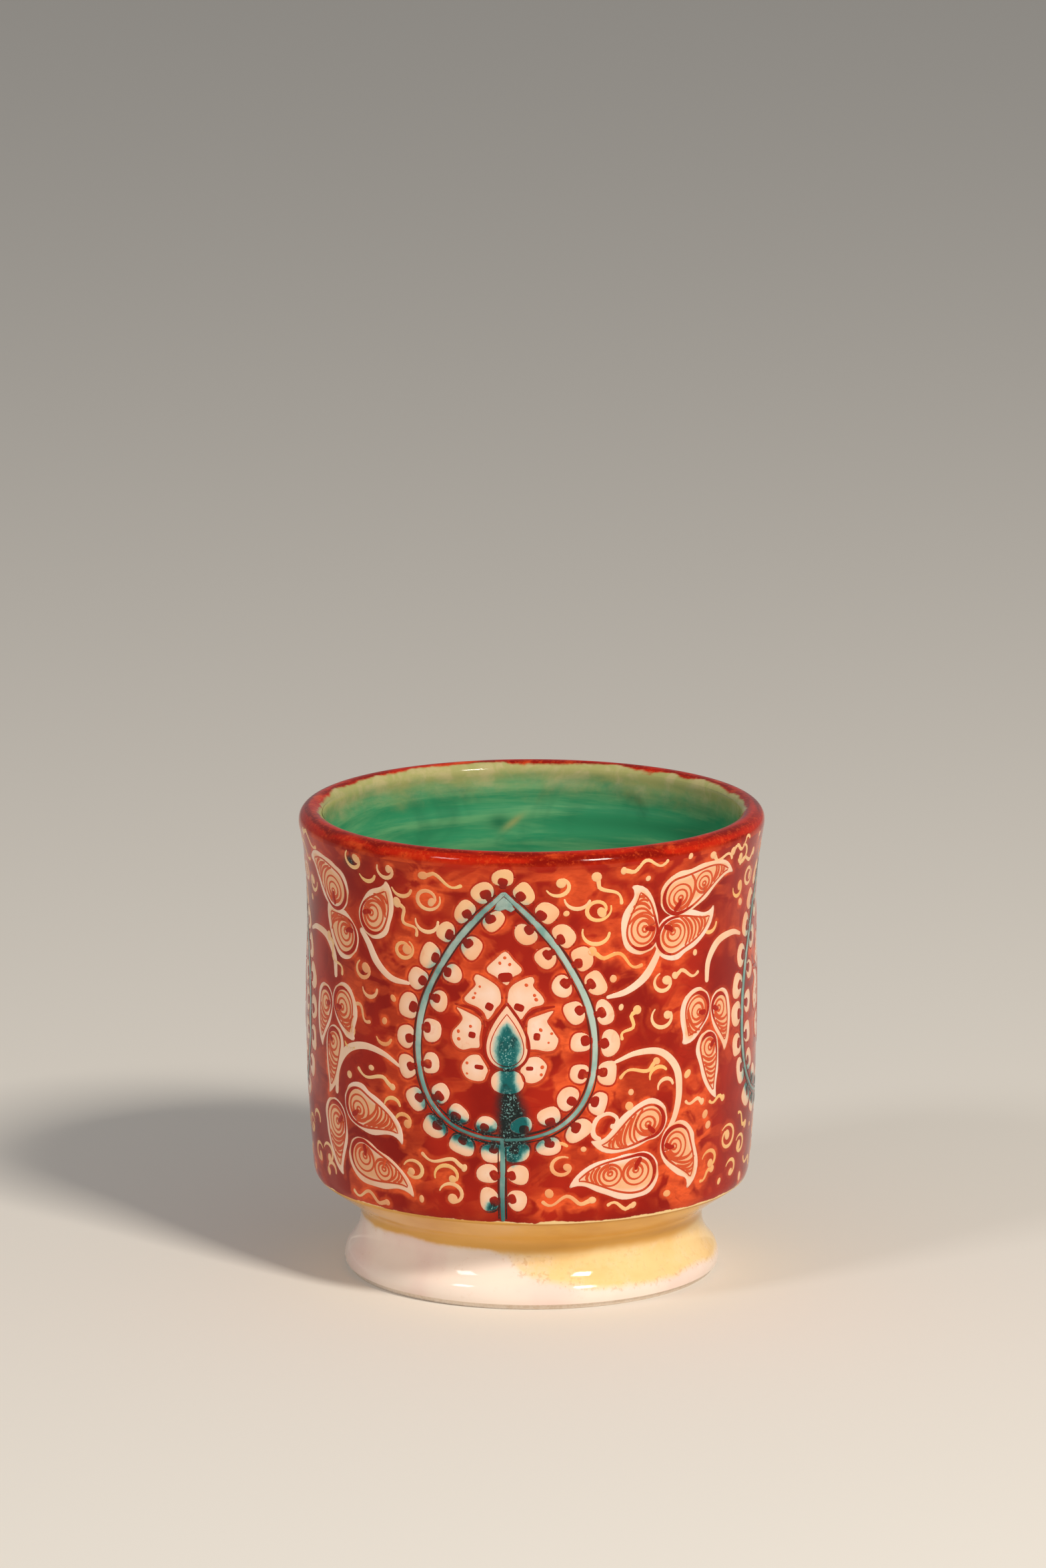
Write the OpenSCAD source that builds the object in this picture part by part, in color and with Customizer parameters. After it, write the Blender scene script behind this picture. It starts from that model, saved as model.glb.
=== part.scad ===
// Footed drinking cup without a handle, thrown in clay.
// The wall is slipped white and painted red, the inside is glazed green,
// and the cup is luted on to a hollow flared foot with a honey glaze at the neck.
// Millimetres, +Z up, origin at the middle of the standing ring.

/* [Cup] */
// Diameter across the outside of the lip
rim_d = 86; // [76:1:96]
// Height from the table to the top of the lip
cup_h = 87; // [78:1:96]
// Thickness of the rounded lip
lip_t = 4.8; // [4:0.1:5.6]
// Thickness of the wall with its coats
wall_t = 4.6; // [3.8:0.1:5.4]
// Thickness of the clay floor above the foot
floor_t = 6; // [5:0.25:7.5]
// Rounding inside, where the wall turns into the floor
inside_round = 10; // [7:0.5:13]

/* [Outside of the wall] */
// How far the waist is drawn in from the lip
waist_in = 1.55; // [1:0.05:2.2]
// Drop from the top of the lip to the waist
waist_drop = 17; // [14:0.5:20]
// How far the belly lies in from the lip
belly_in = 1.25; // [0.8:0.05:1.5]
// Drop from the waist to the belly
belly_drop = 20; // [15:0.5:24]
// How far the lower end of the wall lies in from the lip
shoulder_in = 2.6; // [2:0.1:3.4]
// Rounding between the wall and its underside
shoulder_round = 2.5; // [1.8:0.1:3]

/* [Neck and foot] */
// Widest diameter of the foot
foot_d = 69.6; // [62:0.4:76]
// Height of the neck, where the cup sits on the foot
foot_h = 9.8; // [8:0.2:12]
// Height from the neck to the lower end of the wall
under_h = 9.2; // [8:0.2:11]
// How far the neck is drawn in from the foot's widest point
neck_in = 3.05; // [2.4:0.05:3.8]
// Rounding between the neck and the underside of the cup
neck_round = 4; // [3:0.1:4.6]
// Height of the foot's widest point
foot_bulge_h = 2; // [1.4:0.1:2.6]
// Rounding of the foot's lower edge
foot_round = 4; // [3.2:0.1:4.6]
// Thickness of the foot's clay at the neck
foot_wall = 3.4; // [2.8:0.1:4.4]
// Bevel inside the standing ring
foot_bevel = 1; // [0.5:0.1:1.5]

/* [Luting joint] */
// Thickness of the slip that joins cup and foot
joint_t = 0.6; // [0.4:0.1:1]
// Fillet of that slip inside the foot
joint_round = 2.4; // [1.6:0.1:3.2]

/* [Coats] */
// Thickness of the white slip under the painting
slip_t = 0.35; // [0.2:0.05:0.5]
// Thickness of the red paint and its clear glaze
paint_t = 0.25; // [0.15:0.05:0.35]
// Thickness of the green glaze inside
inside_glaze_t = 0.5; // [0.3:0.05:0.6]
// Thickness of the glaze on neck and foot
foot_glaze_t = 0.4; // [0.25:0.05:0.5]
// How far the red of the lip reaches down inside
rim_band_in = 1.2; // [0.6:0.1:2]
// Share of the shoulder's rounding that the red covers
paint_turn = 0.7; // [0.4:0.05:0.95]
// How far the honey glaze runs down below the neck
honey_drop = 1.4; // [0.8:0.1:2]
// Height of the bare clay above the table
bare_h = 1; // [0.6:0.1:1.4]

/* [Hidden] */
turn_fn = 144;
arc_step = 5;
sway_steps = 10;

// Radii and heights of the main stations, each on the finished surface
lip_r = lip_t / 2;
lip_c = [rim_d / 2 - lip_r, cup_h - lip_r];
waist = [rim_d / 2 - waist_in, cup_h - waist_drop];
belly = [rim_d / 2 - belly_in, waist[1] - belly_drop];
shoulder = [rim_d / 2 - shoulder_in, foot_h + under_h];
neck = [foot_d / 2 - neck_in, foot_h];
bulge_c = [foot_d / 2 - foot_round, foot_bulge_h];
painted_t = slip_t + paint_t;
seat_z = foot_h + joint_t / 2;
foot_top = foot_h - joint_t / 2;
floor_z = seat_z + floor_t + inside_glaze_t;
hole_r = neck[0] - foot_glaze_t - foot_wall;

// Radius of a hollow round that stands upright at p and runs into the bulging round c, r
function hollow_r(p, c, r) =
    let (a = p[0] - c[0], h = c[1] - p[1])
    (a * a + h * h - r * r) / (2 * (r - a));

// Angle from one point to another
function bearing(from, to) = atan2(to[1] - from[1], to[0] - from[0]);

// Flare under the lip and ogee of the foot: hollow rounds that run into bulging ones
flare_r = hollow_r(waist, lip_c, lip_r);
flare_c = [waist[0] + flare_r, waist[1]];
flare_a = bearing(lip_c, flare_c);
ogee_r = hollow_r(neck, bulge_c, foot_round);
ogee_c = [neck[0] + ogee_r, neck[1]];
ogee_a = bearing(bulge_c, ogee_c);

// Underside of the cup: the line that touches the shoulder's round and the neck's round
wall_lean = -atan(2 * (belly[0] - shoulder[0]) / (belly[1] - shoulder[1]));
shoulder_c = shoulder - shoulder_round * [cos(wall_lean), sin(wall_lean)];
neck_gap = shoulder[0] - neck[0];
neck_r_most = (neck_gap * neck_gap + under_h * under_h) / (2 * neck_gap) - shoulder_round;
neck_r = min(neck_round, 0.9 * neck_r_most);
neck_c = [neck[0] + neck_r, neck[1]];
under_a = bearing(shoulder_c, neck_c)
    + acos((shoulder_round + neck_r) / norm(neck_c - shoulder_c));
under_n = [cos(under_a), sin(under_a)];
under_top = shoulder_c + shoulder_round * under_n;
under_end = neck_c - neck_r * under_n;

// Where the coats and the joint end on the rounds
rim_band_a = 180 - asin((lip_r - rim_band_in) / lip_r);
paint_a = wall_lean + paint_turn * (under_a - wall_lean);
seat_a = 180 - asin((seat_z - foot_h) / (neck_r + foot_glaze_t));
foot_top_a = 180 + asin((foot_h - foot_top) / (ogee_r + foot_glaze_t));
honey_a = 180 + asin(honey_drop / ogee_r);
bare_a = asin((bare_h - foot_bulge_h) / foot_round);
table_a = -asin(foot_bulge_h / (foot_round - foot_glaze_t));

// A stretch is a list of [radius, height, angle of the outward normal].
// Round stretch about c; side is 1 where it bulges out of the clay and -1 where it hollows it
function round_stretch(c, r, from, to, side = 1) =
    let (n = max(3, ceil(abs(to - from) / arc_step)))
    [for (i = [0:n])
        let (a = from + (to - from) * i / n)
        [c[0] + r * cos(a), c[1] + r * sin(a), side > 0 ? a : a + 180]];

// Stretch that leaves one point upright and sways over to another, upright again
function sway_stretch(from, to, inside = false) =
    [for (i = [0:sway_steps])
        let (t = i / sway_steps, d = to - from, lean = 6 * t * (1 - t) * d[0] / d[1])
        [from[0] + d[0] * t * t * (3 - 2 * t), from[1] + d[1] * t, (inside ? 180 : 0) - atan(lean)]];

// Stretch that leaves the belly upright and draws in more and more towards the shoulder
function belly_stretch() =
    [for (i = [0:sway_steps])
        let (t = i / sway_steps, d = shoulder - belly)
        [belly[0] + d[0] * t * t, belly[1] + d[1] * t, -atan(2 * t * d[0] / d[1])]];

// Straight stretch with one normal
function straight(from, to, a) = [[from[0], from[1], a], [to[0], to[1], a]];

// The finished surface, from the middle of the floor over the lip to the table
inner_low = [shoulder[0] - wall_t, floor_z + inside_round];
inner_waist = [waist[0] - wall_t, waist[1]];
inner_lip = [lip_c[0] - lip_r, lip_c[1]];
corner_c = inner_low - [inside_round, 0];
inside_skin = concat(
    straight([0, floor_z], [corner_c[0], floor_z], 90),
    round_stretch(corner_c, inside_round, -90, 0, -1),
    sway_stretch(inner_low, inner_waist, true),
    sway_stretch(inner_waist, inner_lip, true),
    round_stretch(lip_c, lip_r, 180, rim_band_a)
);
rim_skin = round_stretch(lip_c, lip_r, rim_band_a, flare_a);
wall_skin = concat(
    round_stretch(flare_c, flare_r, 180 + flare_a, 180, -1),
    sway_stretch(waist, belly),
    belly_stretch(),
    round_stretch(shoulder_c, shoulder_round, wall_lean, paint_a)
);
under_skin = concat(
    round_stretch(shoulder_c, shoulder_round, paint_a, under_a),
    straight(under_top, under_end, under_a),
    round_stretch(neck_c, neck_r, 180 + under_a, seat_a, -1)
);
joint_skin = concat(
    round_stretch(neck_c, neck_r, seat_a, 180, -1),
    round_stretch(ogee_c, ogee_r, 180, foot_top_a, -1)
);
honey_skin = round_stretch(ogee_c, ogee_r, foot_top_a, honey_a, -1);
foot_skin = concat(
    round_stretch(ogee_c, ogee_r, honey_a, 180 + ogee_a, -1),
    round_stretch(bulge_c, foot_round, ogee_a, bare_a)
);

// The line that lies a depth below a stretch of the surface
function below(stretch, depth) =
    [for (p = stretch) [p[0] - depth * cos(p[2]), p[1] - depth * sin(p[2])]];

function reversed(points) = [for (i = [len(points) - 1:-1:0]) points[i]];

// An outline without the points that repeat the one before them
function once(points) =
    [for (i = [0:len(points) - 1])
        if (norm(points[i] - points[(i + len(points) - 1) % len(points)]) > 0.0005) points[i]];

module turned(outline) {
    rotate_extrude($fn = turn_fn)
        polygon(once(outline));
}

// A coat on a stretch of the surface, from one depth to another
module coat(stretch, from, to) {
    turned(concat(below(stretch, from), reversed(below(stretch, to))));
}

// Thrown wall, rounded shoulder and floor, with a flat seat underneath
module cup_body() {
    color("wheat")
        turned(concat(
            below(inside_skin, inside_glaze_t),
            below(concat(rim_skin, wall_skin), painted_t),
            below(under_skin, foot_glaze_t),
            [[0, seat_z]]
        ));
}

// Hollow flared foot with a flat standing ring
module foot_ring() {
    bare = round_stretch(bulge_c, foot_round - foot_glaze_t, bare_a, table_a);
    color("linen")
        turned(concat(
            [[hole_r, foot_top]],
            below(concat(honey_skin, foot_skin), foot_glaze_t),
            below(bare, 0),
            [[hole_r + foot_bevel, 0], [hole_r, foot_bevel]]
        ));
}

// Slip squeezed between cup and foot and wiped into a fillet inside the foot
module luting_slip() {
    fillet = round_stretch([hole_r - joint_round, seat_z - joint_round], joint_round, 0, 90);
    color("antiquewhite")
        turned(concat(
            below(joint_skin, foot_glaze_t),
            [[hole_r, foot_top]],
            below(fillet, 0)
        ));
}

// White ground for the painting, from inside the lip to the paint's lower edge
module white_slip() {
    color("ivory")
        coat(concat(rim_skin, wall_skin), paint_t, painted_t);
}

// Red painted wall
module red_ground() {
    color("firebrick")
        coat(wall_skin, 0, paint_t);
}

// Dark red band over the lip
module rim_band() {
    color("darkred")
        coat(rim_skin, 0, paint_t);
}

// Green glaze on the wall and floor inside
module inside_glaze() {
    color("mediumseagreen")
        turned(concat(below(inside_skin, 0), reversed(below(inside_skin, inside_glaze_t))));
}

// Honey glaze on the underside and round the neck
module neck_glaze() {
    color("burlywood")
        coat(concat(under_skin, joint_skin, honey_skin), 0, foot_glaze_t);
}

// Clear glaze on the foot, down to the bare edge
module foot_glaze() {
    color("seashell")
        coat(foot_skin, 0, foot_glaze_t);
}

cup_body();
foot_ring();
luting_slip();
white_slip();
red_ground();
rim_band();
inside_glaze();
neck_glaze();
foot_glaze();
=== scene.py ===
# Looks of the painted cup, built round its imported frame

import math
import random

import bpy
import numpy as np
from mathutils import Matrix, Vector
from mathutils.bvhtree import BVHTree
from mathutils.kdtree import KDTree


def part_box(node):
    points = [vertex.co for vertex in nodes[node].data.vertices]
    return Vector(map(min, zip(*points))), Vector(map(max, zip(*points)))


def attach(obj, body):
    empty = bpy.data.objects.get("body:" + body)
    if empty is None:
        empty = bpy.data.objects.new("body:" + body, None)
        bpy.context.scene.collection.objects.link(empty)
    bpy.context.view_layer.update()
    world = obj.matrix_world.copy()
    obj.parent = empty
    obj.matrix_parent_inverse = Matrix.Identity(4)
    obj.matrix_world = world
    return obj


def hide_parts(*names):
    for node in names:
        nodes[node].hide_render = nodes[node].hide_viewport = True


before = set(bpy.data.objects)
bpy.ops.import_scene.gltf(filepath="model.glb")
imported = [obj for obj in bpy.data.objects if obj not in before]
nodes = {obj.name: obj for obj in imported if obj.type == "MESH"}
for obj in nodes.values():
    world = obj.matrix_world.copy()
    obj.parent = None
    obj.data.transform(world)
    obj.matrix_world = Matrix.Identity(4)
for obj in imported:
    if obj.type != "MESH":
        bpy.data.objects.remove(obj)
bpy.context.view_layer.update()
scene = bpy.context.scene
scene.view_settings.view_transform = "Standard"
mm = 0.001
fullTurn = 2 * math.pi
print("frame loaded with", len(nodes), "nodes")


# Camera

cameraSettings = {
    "place": (-1.6, -1569.8, 424.8),  # mm
    "pitch": 12.01,  # degrees below level
    "focal": 13067,  # in pixels of the image
    "imageHigh": 2351,
    "sensor": 36.0,
    "clip": (0.05, 60.0),  # m
}


def makeCamera(s):
    data = bpy.data.cameras.new("photoCamera")
    data.sensor_width = s["sensor"]
    data.lens = s["sensor"] * s["focal"] / s["imageHigh"]
    data.clip_start, data.clip_end = s["clip"]
    camera = bpy.data.objects.new("photoCamera", data)
    camera.location = [c * mm for c in s["place"]]
    camera.rotation_euler = (math.radians(90 - s["pitch"]), 0, 0)
    scene.collection.objects.link(camera)
    scene.camera = camera


makeCamera(cameraSettings)


# Outline of the thrown form, read from the frame in millimetres

rayGap = 1e-6  # m, keeps rays off the seam of the solids
rayStart = 100.0  # mm, outside the cup


def hitTrees(names):
    depsgraph = bpy.context.evaluated_depsgraph_get()
    return [BVHTree.FromObject(nodes[n], depsgraph) for n in names]


def firstHit(trees, start, way):
    hits = [tree.ray_cast(Vector(start), Vector(way))[3] for tree in trees]
    return min(h for h in hits if h is not None) / mm


def outsideLine(names, heights):
    trees = hitTrees(names)
    return [(rayStart - firstHit(trees, (rayStart * mm, rayGap, z * mm), (-1, 0, 0)), z) for z in heights]


def insideLine(names, heights):
    trees = hitTrees(names)
    return [(firstHit(trees, (0, rayGap, z * mm), (1, 0, 0)), z) for z in heights]


def eased(start, end, count):
    # crowds the samples towards the end
    return [start + (end - start) * math.sin(math.pi / 2 * i / count) for i in range(count + 1)]


def lengthsAlong(line):
    steps = np.hypot(*np.diff(line, axis=0).T)
    return np.concatenate([[0.0], np.cumsum(steps)])


def alongPath(path, where):
    s = lengthsAlong(path)
    return np.column_stack([np.interp(where, s, path[:, c]) for c in (0, 1)])


def evenSteps(line, step, passes=3):
    line = np.array(line)
    length = lengthsAlong(line)[-1]
    even = alongPath(line, np.linspace(0, length, max(2, round(length / step)) + 1))
    for _ in range(passes):  # takes the facets out
        even[1:-1] = (even[:-2] + 2 * even[1:-1] + even[2:]) / 4
    return even


def unitWays(line):
    way = np.gradient(line, axis=0)
    return way / np.maximum(np.linalg.norm(way, axis=1), 1e-9)[:, None]


def outward(line):
    way = unitWays(line)
    return np.column_stack([way[:, 1], -way[:, 0]])


def heightsOf(node):
    low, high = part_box(node)
    return low.z / mm, high.z / mm


wallLow, wallHigh = heightsOf("red_ground")
lipTop = heightsOf("rim_band")[1]
insideLow, insideTop = heightsOf("inside_glaze")
neckLow, neckHigh = heightsOf("neck_glaze")
footLow = heightsOf("foot_glaze")[0]
outlineSettings = {
    "skinGap": 0.02,  # stays off the sharp ends of a coat
    "crestGap": 0.001,  # and off the very top of the lip
    "lipRun": 4.0,  # the lip is smoothed this far down the inside
    "glazeDeep": 0.5,  # green glaze on the floor
    "floorGap": 0.003,
    "corner": 11.0,  # height of the round between floor and wall
    "eye": 0.4,  # radius at which the floor closes
}


def readOutline(s):
    painted = ["red_ground", "rim_band"]
    skinGap = s["skinGap"]
    crest = lipTop - s["crestGap"]
    wall = evenSteps(outsideLine(painted, np.arange(wallLow + skinGap, wallHigh, 0.25)), 0.5)
    mouthLow = insideTop - s["lipRun"]
    mouth = evenSteps(
        [tuple(wall[-1])]
        + outsideLine(painted, eased(wallHigh + skinGap, crest, 24))
        + insideLine(["rim_band"], eased(insideTop + skinGap, crest, 16)[::-1])
        + insideLine(["inside_glaze"], np.arange(insideTop - skinGap, mouthLow, -0.1)),
        0.2, 12,
    )
    lipMiddle = (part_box("rim_band")[1].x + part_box("inside_glaze")[1].x) / 2 / mm
    seam = next(i for i, (r, z) in enumerate(mouth) if r < lipMiddle and z < insideTop)
    floorTop = insideLow + s["glazeDeep"]
    cornerTop = floorTop + s["corner"]
    inside = evenSteps(
        [tuple(mouth[-1])]
        + insideLine(["inside_glaze"], np.arange(mouthLow - 0.5, cornerTop, -0.5))
        + insideLine(["inside_glaze"], eased(cornerTop, floorTop + s["floorGap"], 60))
        + [(s["eye"], floorTop)],
        0.55,
    )
    stand = outsideLine(["foot_glaze", "neck_glaze"], np.arange(footLow + skinGap, neckHigh, 0.1))
    stand = evenSteps(stand, 0.15, 8)
    stand[-1] = wall[0]  # neighbours meet on one ring
    ankle = next(i for i, (r, z) in enumerate(stand) if z > neckLow)
    inside = np.concatenate([mouth[seam:-1], inside])
    return wall, mouth[:seam + 1], inside, stand[ankle:], stand[:ankle + 1]


wallLine, lipLine, insideSkin, neckLine, footLine = readOutline(outlineSettings)
wallOut = outward(wallLine)
print("outline read:", len(wallLine), "steps on the wall")


# Small unevenness of a hand-thrown wall

throwingWaves = [  # height in millimetres, waves round the cup, phase per millimetre up it, start
    (0.05, 2, 0.0, 0.7), (0.035, 3, 0.03, -1.1), (0.025, 1, 0.21, 0.0), (0.012, -1, 0.9, 0.0),
]
ribSettings = {"high": 0.09, "pitch": 4.6}  # mm


def throwing(turn, z):
    return sum(high * np.sin(about * turn + up * z + start) for high, about, up, start in throwingWaves)


def ribs(turn, z):
    # finger ridges that wind up the inside
    wind = np.sin(fullTurn * (z / ribSettings["pitch"] + turn / fullTurn))
    return throwing(turn, z) + ribSettings["high"] * wind


# Turned solids with a fine face and a plain back

latheSettings = {
    "backStep": 8,  # the back keeps every eighth ring
    "frontRows": 0.9,  # shares of the texture's height
    "backRows": (0.93, 0.99),
    "eye": (0.5, 0.915, 0.01),  # place and radius of the floor's middle in the texture
}


def latheSolid(name, line, depth, turns, shift):
    s = latheSettings
    front = np.array(line)
    out = outward(front)
    last = len(front) - 1
    kept = sorted(set(list(range(0, len(front), s["backStep"])) + [last]))
    back = (front - depth * out)[kept][::-1]
    loop = np.concatenate([front, back])
    away = np.concatenate([out, np.zeros_like(back)])
    toAxis = front[-1][0] < 1.0
    rings = len(loop)
    turn = math.pi + fullTurn * np.arange(turns) / turns
    lift = np.array([shift(turn, z) for z in loop[:, 1]])
    radius = loop[:, :1] + lift * away[:, :1]
    height = loop[:, 1:] + lift * away[:, 1:]
    points = np.stack([radius * np.sin(turn), -radius * np.cos(turn), height], -1).reshape(-1, 3) * mm
    run = lengthsAlong(front) / lengthsAlong(front)[-1] * s["frontRows"]
    rows = np.concatenate([run, np.linspace(*s["backRows"], len(back)), [1.0]])
    pairs = [(j, j + 1) for j in range(rings - 1) if not (toAxis and j == last)]
    if not toAxis:
        pairs.append((rings - 1, 0))
    i = np.arange(turns)
    nextI = (i + 1) % turns
    faces = []
    places = []
    for j, k in pairs:
        faces.append(np.stack([j * turns + i, j * turns + nextI, k * turns + nextI, k * turns + i], -1))
        upper = rows[k] if k else 1.0
        corners = [(i, rows[j]), (i + 1, rows[j]), (i + 1, upper), (i, upper)]
        places.append(np.stack([np.stack([c / turns, np.full(turns, v)], -1) for c, v in corners], 1))
    faces = np.concatenate(faces).tolist()
    places = np.concatenate(places).reshape(-1, 2)
    if toAxis:
        faces.append((last * turns + i).tolist())
        faces.append((len(front) * turns + i[::-1]).tolist())
        u, v, r = s["eye"]
        eye = np.stack([u + r * np.cos(turn), v + r * np.sin(turn)], -1)
        places = np.concatenate([places, eye, eye[::-1]])
    obj = newPiece(name, points, faces, places)
    mesh = obj.data
    ends = np.zeros(len(mesh.edges) * 2, np.int32)
    mesh.edges.foreach_get("vertices", ends)
    ring = ends.reshape(-1, 2) // turns
    corner = np.isin(ring[:, 0], [0, last, len(front), rings - 1]) & (ring[:, 0] == ring[:, 1])
    mesh.attributes.new("sharp_edge", "BOOLEAN", "EDGE").data.foreach_set("value", corner)
    return obj


def newPiece(name, points, faces, places):
    # places holds the texture place of each face corner
    mesh = bpy.data.meshes.new(name)
    mesh.from_pydata(points.tolist(), [], faces)
    mesh.uv_layers.new(name="OFBake").data.foreach_set("uv", places.astype(np.float32).ravel())
    mesh.polygons.foreach_set("use_smooth", [True] * len(mesh.polygons))
    obj = bpy.data.objects.new(name, mesh)
    scene.collection.objects.link(obj)
    return obj


def pointValues(obj, name, values):
    data = obj.data.attributes.new(name, "FLOAT", "POINT")
    data.data.foreach_set("value", np.asarray(values, np.float32).ravel())


def cylinderPlaces(obj):
    # angle from the front, height and radius of each vertex, in millimetres
    co = np.zeros(len(obj.data.vertices) * 3, np.float32)
    obj.data.vertices.foreach_get("co", co)
    co = co.reshape(-1, 3) / mm
    return np.arctan2(co[:, 0], -co[:, 1]), co[:, 2], np.hypot(co[:, 0], co[:, 1])


# Painter's sheets: thin raised strokes laid on the wall.
# They are drawn flat, x along the wall at its girth and z up, both in millimetres.

girth = 41.6
layers = {  # height of a stroke's rim and of its middle above the wall, and width of the slope between
    "contour": (-0.020, 0.010, 0.1),
    "stem": (-0.020, 0.020, 0.2),
    "cream": (-0.015, 0.030, 0.2),
    "marks": (0.015, 0.045, 0.1),
    "dash": (0.035, 0.060, 0.1),
    "hood": (0.045, 0.075, 0.1),
    "line": (0.000, 0.060, 0.2),
}
strokeBody = 0.055  # thickness of the paint
strokeStep = 0.55  # along a stroke
fillStep = 1.1  # between the rings of a filled shape
leastRoom = 0.1  # from a fill's middle to the line through any of its edges
allCream = []


def newSheet():
    return {"at": [], "lift": [], "edge": [], "tone": [], "blush": [], "faces": [], "count": 0}


def addPoints(sheet, at, lift, edge, tone, blush, faces):
    count = len(at)
    sheet["at"].append(at)
    for key, given in (("lift", lift), ("edge", edge), ("tone", tone), ("blush", blush)):
        sheet[key].append(np.broadcast_to(given, count))
    sheet["faces"] += [[v + sheet["count"] for v in face] for face in faces]
    sheet["count"] += count


def smoothPath(points, closed=False, per=10):
    p = np.array(points, float)
    if closed:
        p = np.concatenate([p[-1:], p, p[:2]])
    else:
        p = np.concatenate([2 * p[:1] - p[1:2], p, 2 * p[-1:] - p[-2:-1]])
    t = np.linspace(0, 1, per, endpoint=False)[:, None]
    parts = []
    for a, b, c, d in zip(p, p[1:], p[2:], p[3:]):
        parts.append(0.5 * (2 * b + (c - a) * t + (2 * a - 5 * b + 4 * c - d) * t**2
                            + (3 * b - a - 3 * c + d) * t**3))
    parts.append(p[-2:-1])
    return np.concatenate(parts)


def ribbon(sheet, path, half, layer, tone, blush=0.0, columns=1, openEnds=True):
    way = unitWays(path)
    left = np.column_stack([-way[:, 1], way[:, 0]])
    half = np.asarray(half)[:, None]
    rim, top, slope = layers[layer]
    inner = np.maximum(half - slope, 0.4 * half)
    spread = np.linspace(-1, 1, columns + 2)[None, :]
    off = np.concatenate([-half, inner * spread, half], 1)
    rows, cols = off.shape
    at = path[:, None, :] + off[:, :, None] * left[:, None, :]
    edge = np.zeros((rows, cols))
    edge[:, [0, -1]] = 1
    if openEnds:
        edge[[0, -1], :] = 1
    lift = top + (rim - top) * edge
    j, k = np.meshgrid(np.arange(rows - 1), np.arange(cols - 1), indexing="ij")
    a = (j * cols + k).ravel()
    faces = np.stack([a, a + cols, a + cols + 1, a + 1], -1).tolist()
    blushAll = np.broadcast_to(blush, (rows, cols)) * (1 - edge)
    addPoints(sheet, at.reshape(-1, 2), lift.ravel(), edge.ravel(), tone, blushAll.ravel(), faces)


def halfWidths(share, widths):
    return np.interp(share, np.linspace(0, 1, len(widths)), widths) / 2


def stroke(sheet, points, widths, layer="cream", tone=0.0):
    # one brush stroke with round ends; widths run along its length
    path = smoothPath(points)
    total = lengthsAlong(path)[-1]
    first, last = [min(w / 2, total / 3) for w in (widths[0], widths[-1])]
    cap = np.radians([20, 40, 60, 78])
    middle = np.linspace(first, total - last, max(2, round((total - (first + last)) / strokeStep)) + 1)
    where = np.concatenate([first * (1 - np.cos(cap)), middle, (total - last * (1 - np.cos(cap)))[::-1]])
    half = halfWidths(where / total, widths)
    half[:len(cap)] *= np.sin(cap)
    half[-len(cap):] *= np.sin(cap)[::-1]
    ribbon(sheet, alongPath(path, where), half, layer, tone)


def ringLine(sheet, points, widths, layer="marks", tone=0.0):
    # thin closed line; widths run along its length
    path = smoothPath(points, closed=True, per=4)
    total = lengthsAlong(path)[-1]
    where = np.linspace(0, total, max(8, round(total / strokeStep)) + 1)
    ribbon(sheet, alongPath(path, where), halfWidths(where / total, widths), layer, tone, openEnds=False)


def seeingMiddle(p, tries=25):
    # the mean, or where a hook would fold the rings, the point that best sees the whole outline
    way = np.roll(p, -1, 0) - p
    length = np.maximum(np.linalg.norm(way, axis=1), 1e-9)

    def room(c):
        return np.min((way[:, 0] * (c[1] - p[:, 1]) - way[:, 1] * (c[0] - p[:, 0])) / length)

    middle = p.mean(0)
    if room(middle) < leastRoom:
        xs, zs = [np.linspace(p[:, c].min(), p[:, c].max(), tries) for c in (0, 1)]
        middle = np.array(max(((x, z) for x in xs for z in zs), key=room))
    return middle


def blob(sheet, outline, layer="cream", tone=0.0, blush=0.6):
    # filled shape, in rings from its outline to its middle, where it is palest
    p = np.array(outline, float)
    area = np.sum(p[:, 0] * np.roll(p[:, 1], -1) - np.roll(p[:, 0], -1) * p[:, 1])
    if area < 0:
        p = p[::-1]
    middle = seeingMiddle(p)
    reach = np.linalg.norm(p - middle, axis=1)
    rim, top, slope = layers[layer]
    inset = (np.maximum(reach - slope, 0.5 * reach) / reach)[:, None]
    count = max(1, math.ceil(reach.max() / fillStep))
    rings = [p] + [middle + (p - middle) * inset * (1 - k / count) for k in range(count)]
    at = np.concatenate(rings + [middle[None]])
    n = len(p)
    edge = np.concatenate([np.ones(n), np.zeros(len(at) - n)])
    paling = np.concatenate([np.zeros(n), np.repeat(1 - np.arange(count) / count, n), [0.0]])
    sides = [(i, (i + 1) % n) for i in range(n)]
    faces = []
    for low in range(0, count * n, n):
        faces += [[low + a, low + b, low + n + b, low + n + a] for a, b in sides]
    faces += [[count * n + a, count * n + b, len(at) - 1] for a, b in sides]
    addPoints(sheet, at, top + (rim - top) * edge, edge, tone, blush * paling, faces)


def roundOutline(middle, wide, tall, turn=0.0, square=1.0, count=22):
    # oval about middle; square below 1 fills out its corners
    phi = fullTurn * np.arange(count) / count
    c, s = np.cos(phi), np.sin(phi)
    p = np.sign(c) * np.abs(c) ** square * wide / 2
    q = np.sign(s) * np.abs(s) ** square * tall / 2
    ct, st = math.cos(turn), math.sin(turn)
    return np.column_stack([middle[0] + ct * p - st * q, middle[1] + st * p + ct * q])


def spot(sheet, middle, r, rng, layer="cream", tone=0.0):
    squeeze = rng.uniform(0.85, 1.15)
    turn = rng.uniform(0, math.pi)
    blob(sheet, roundOutline(middle, 2 * r * squeeze, 2 * r / squeeze, turn, count=12), layer, tone)


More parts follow.
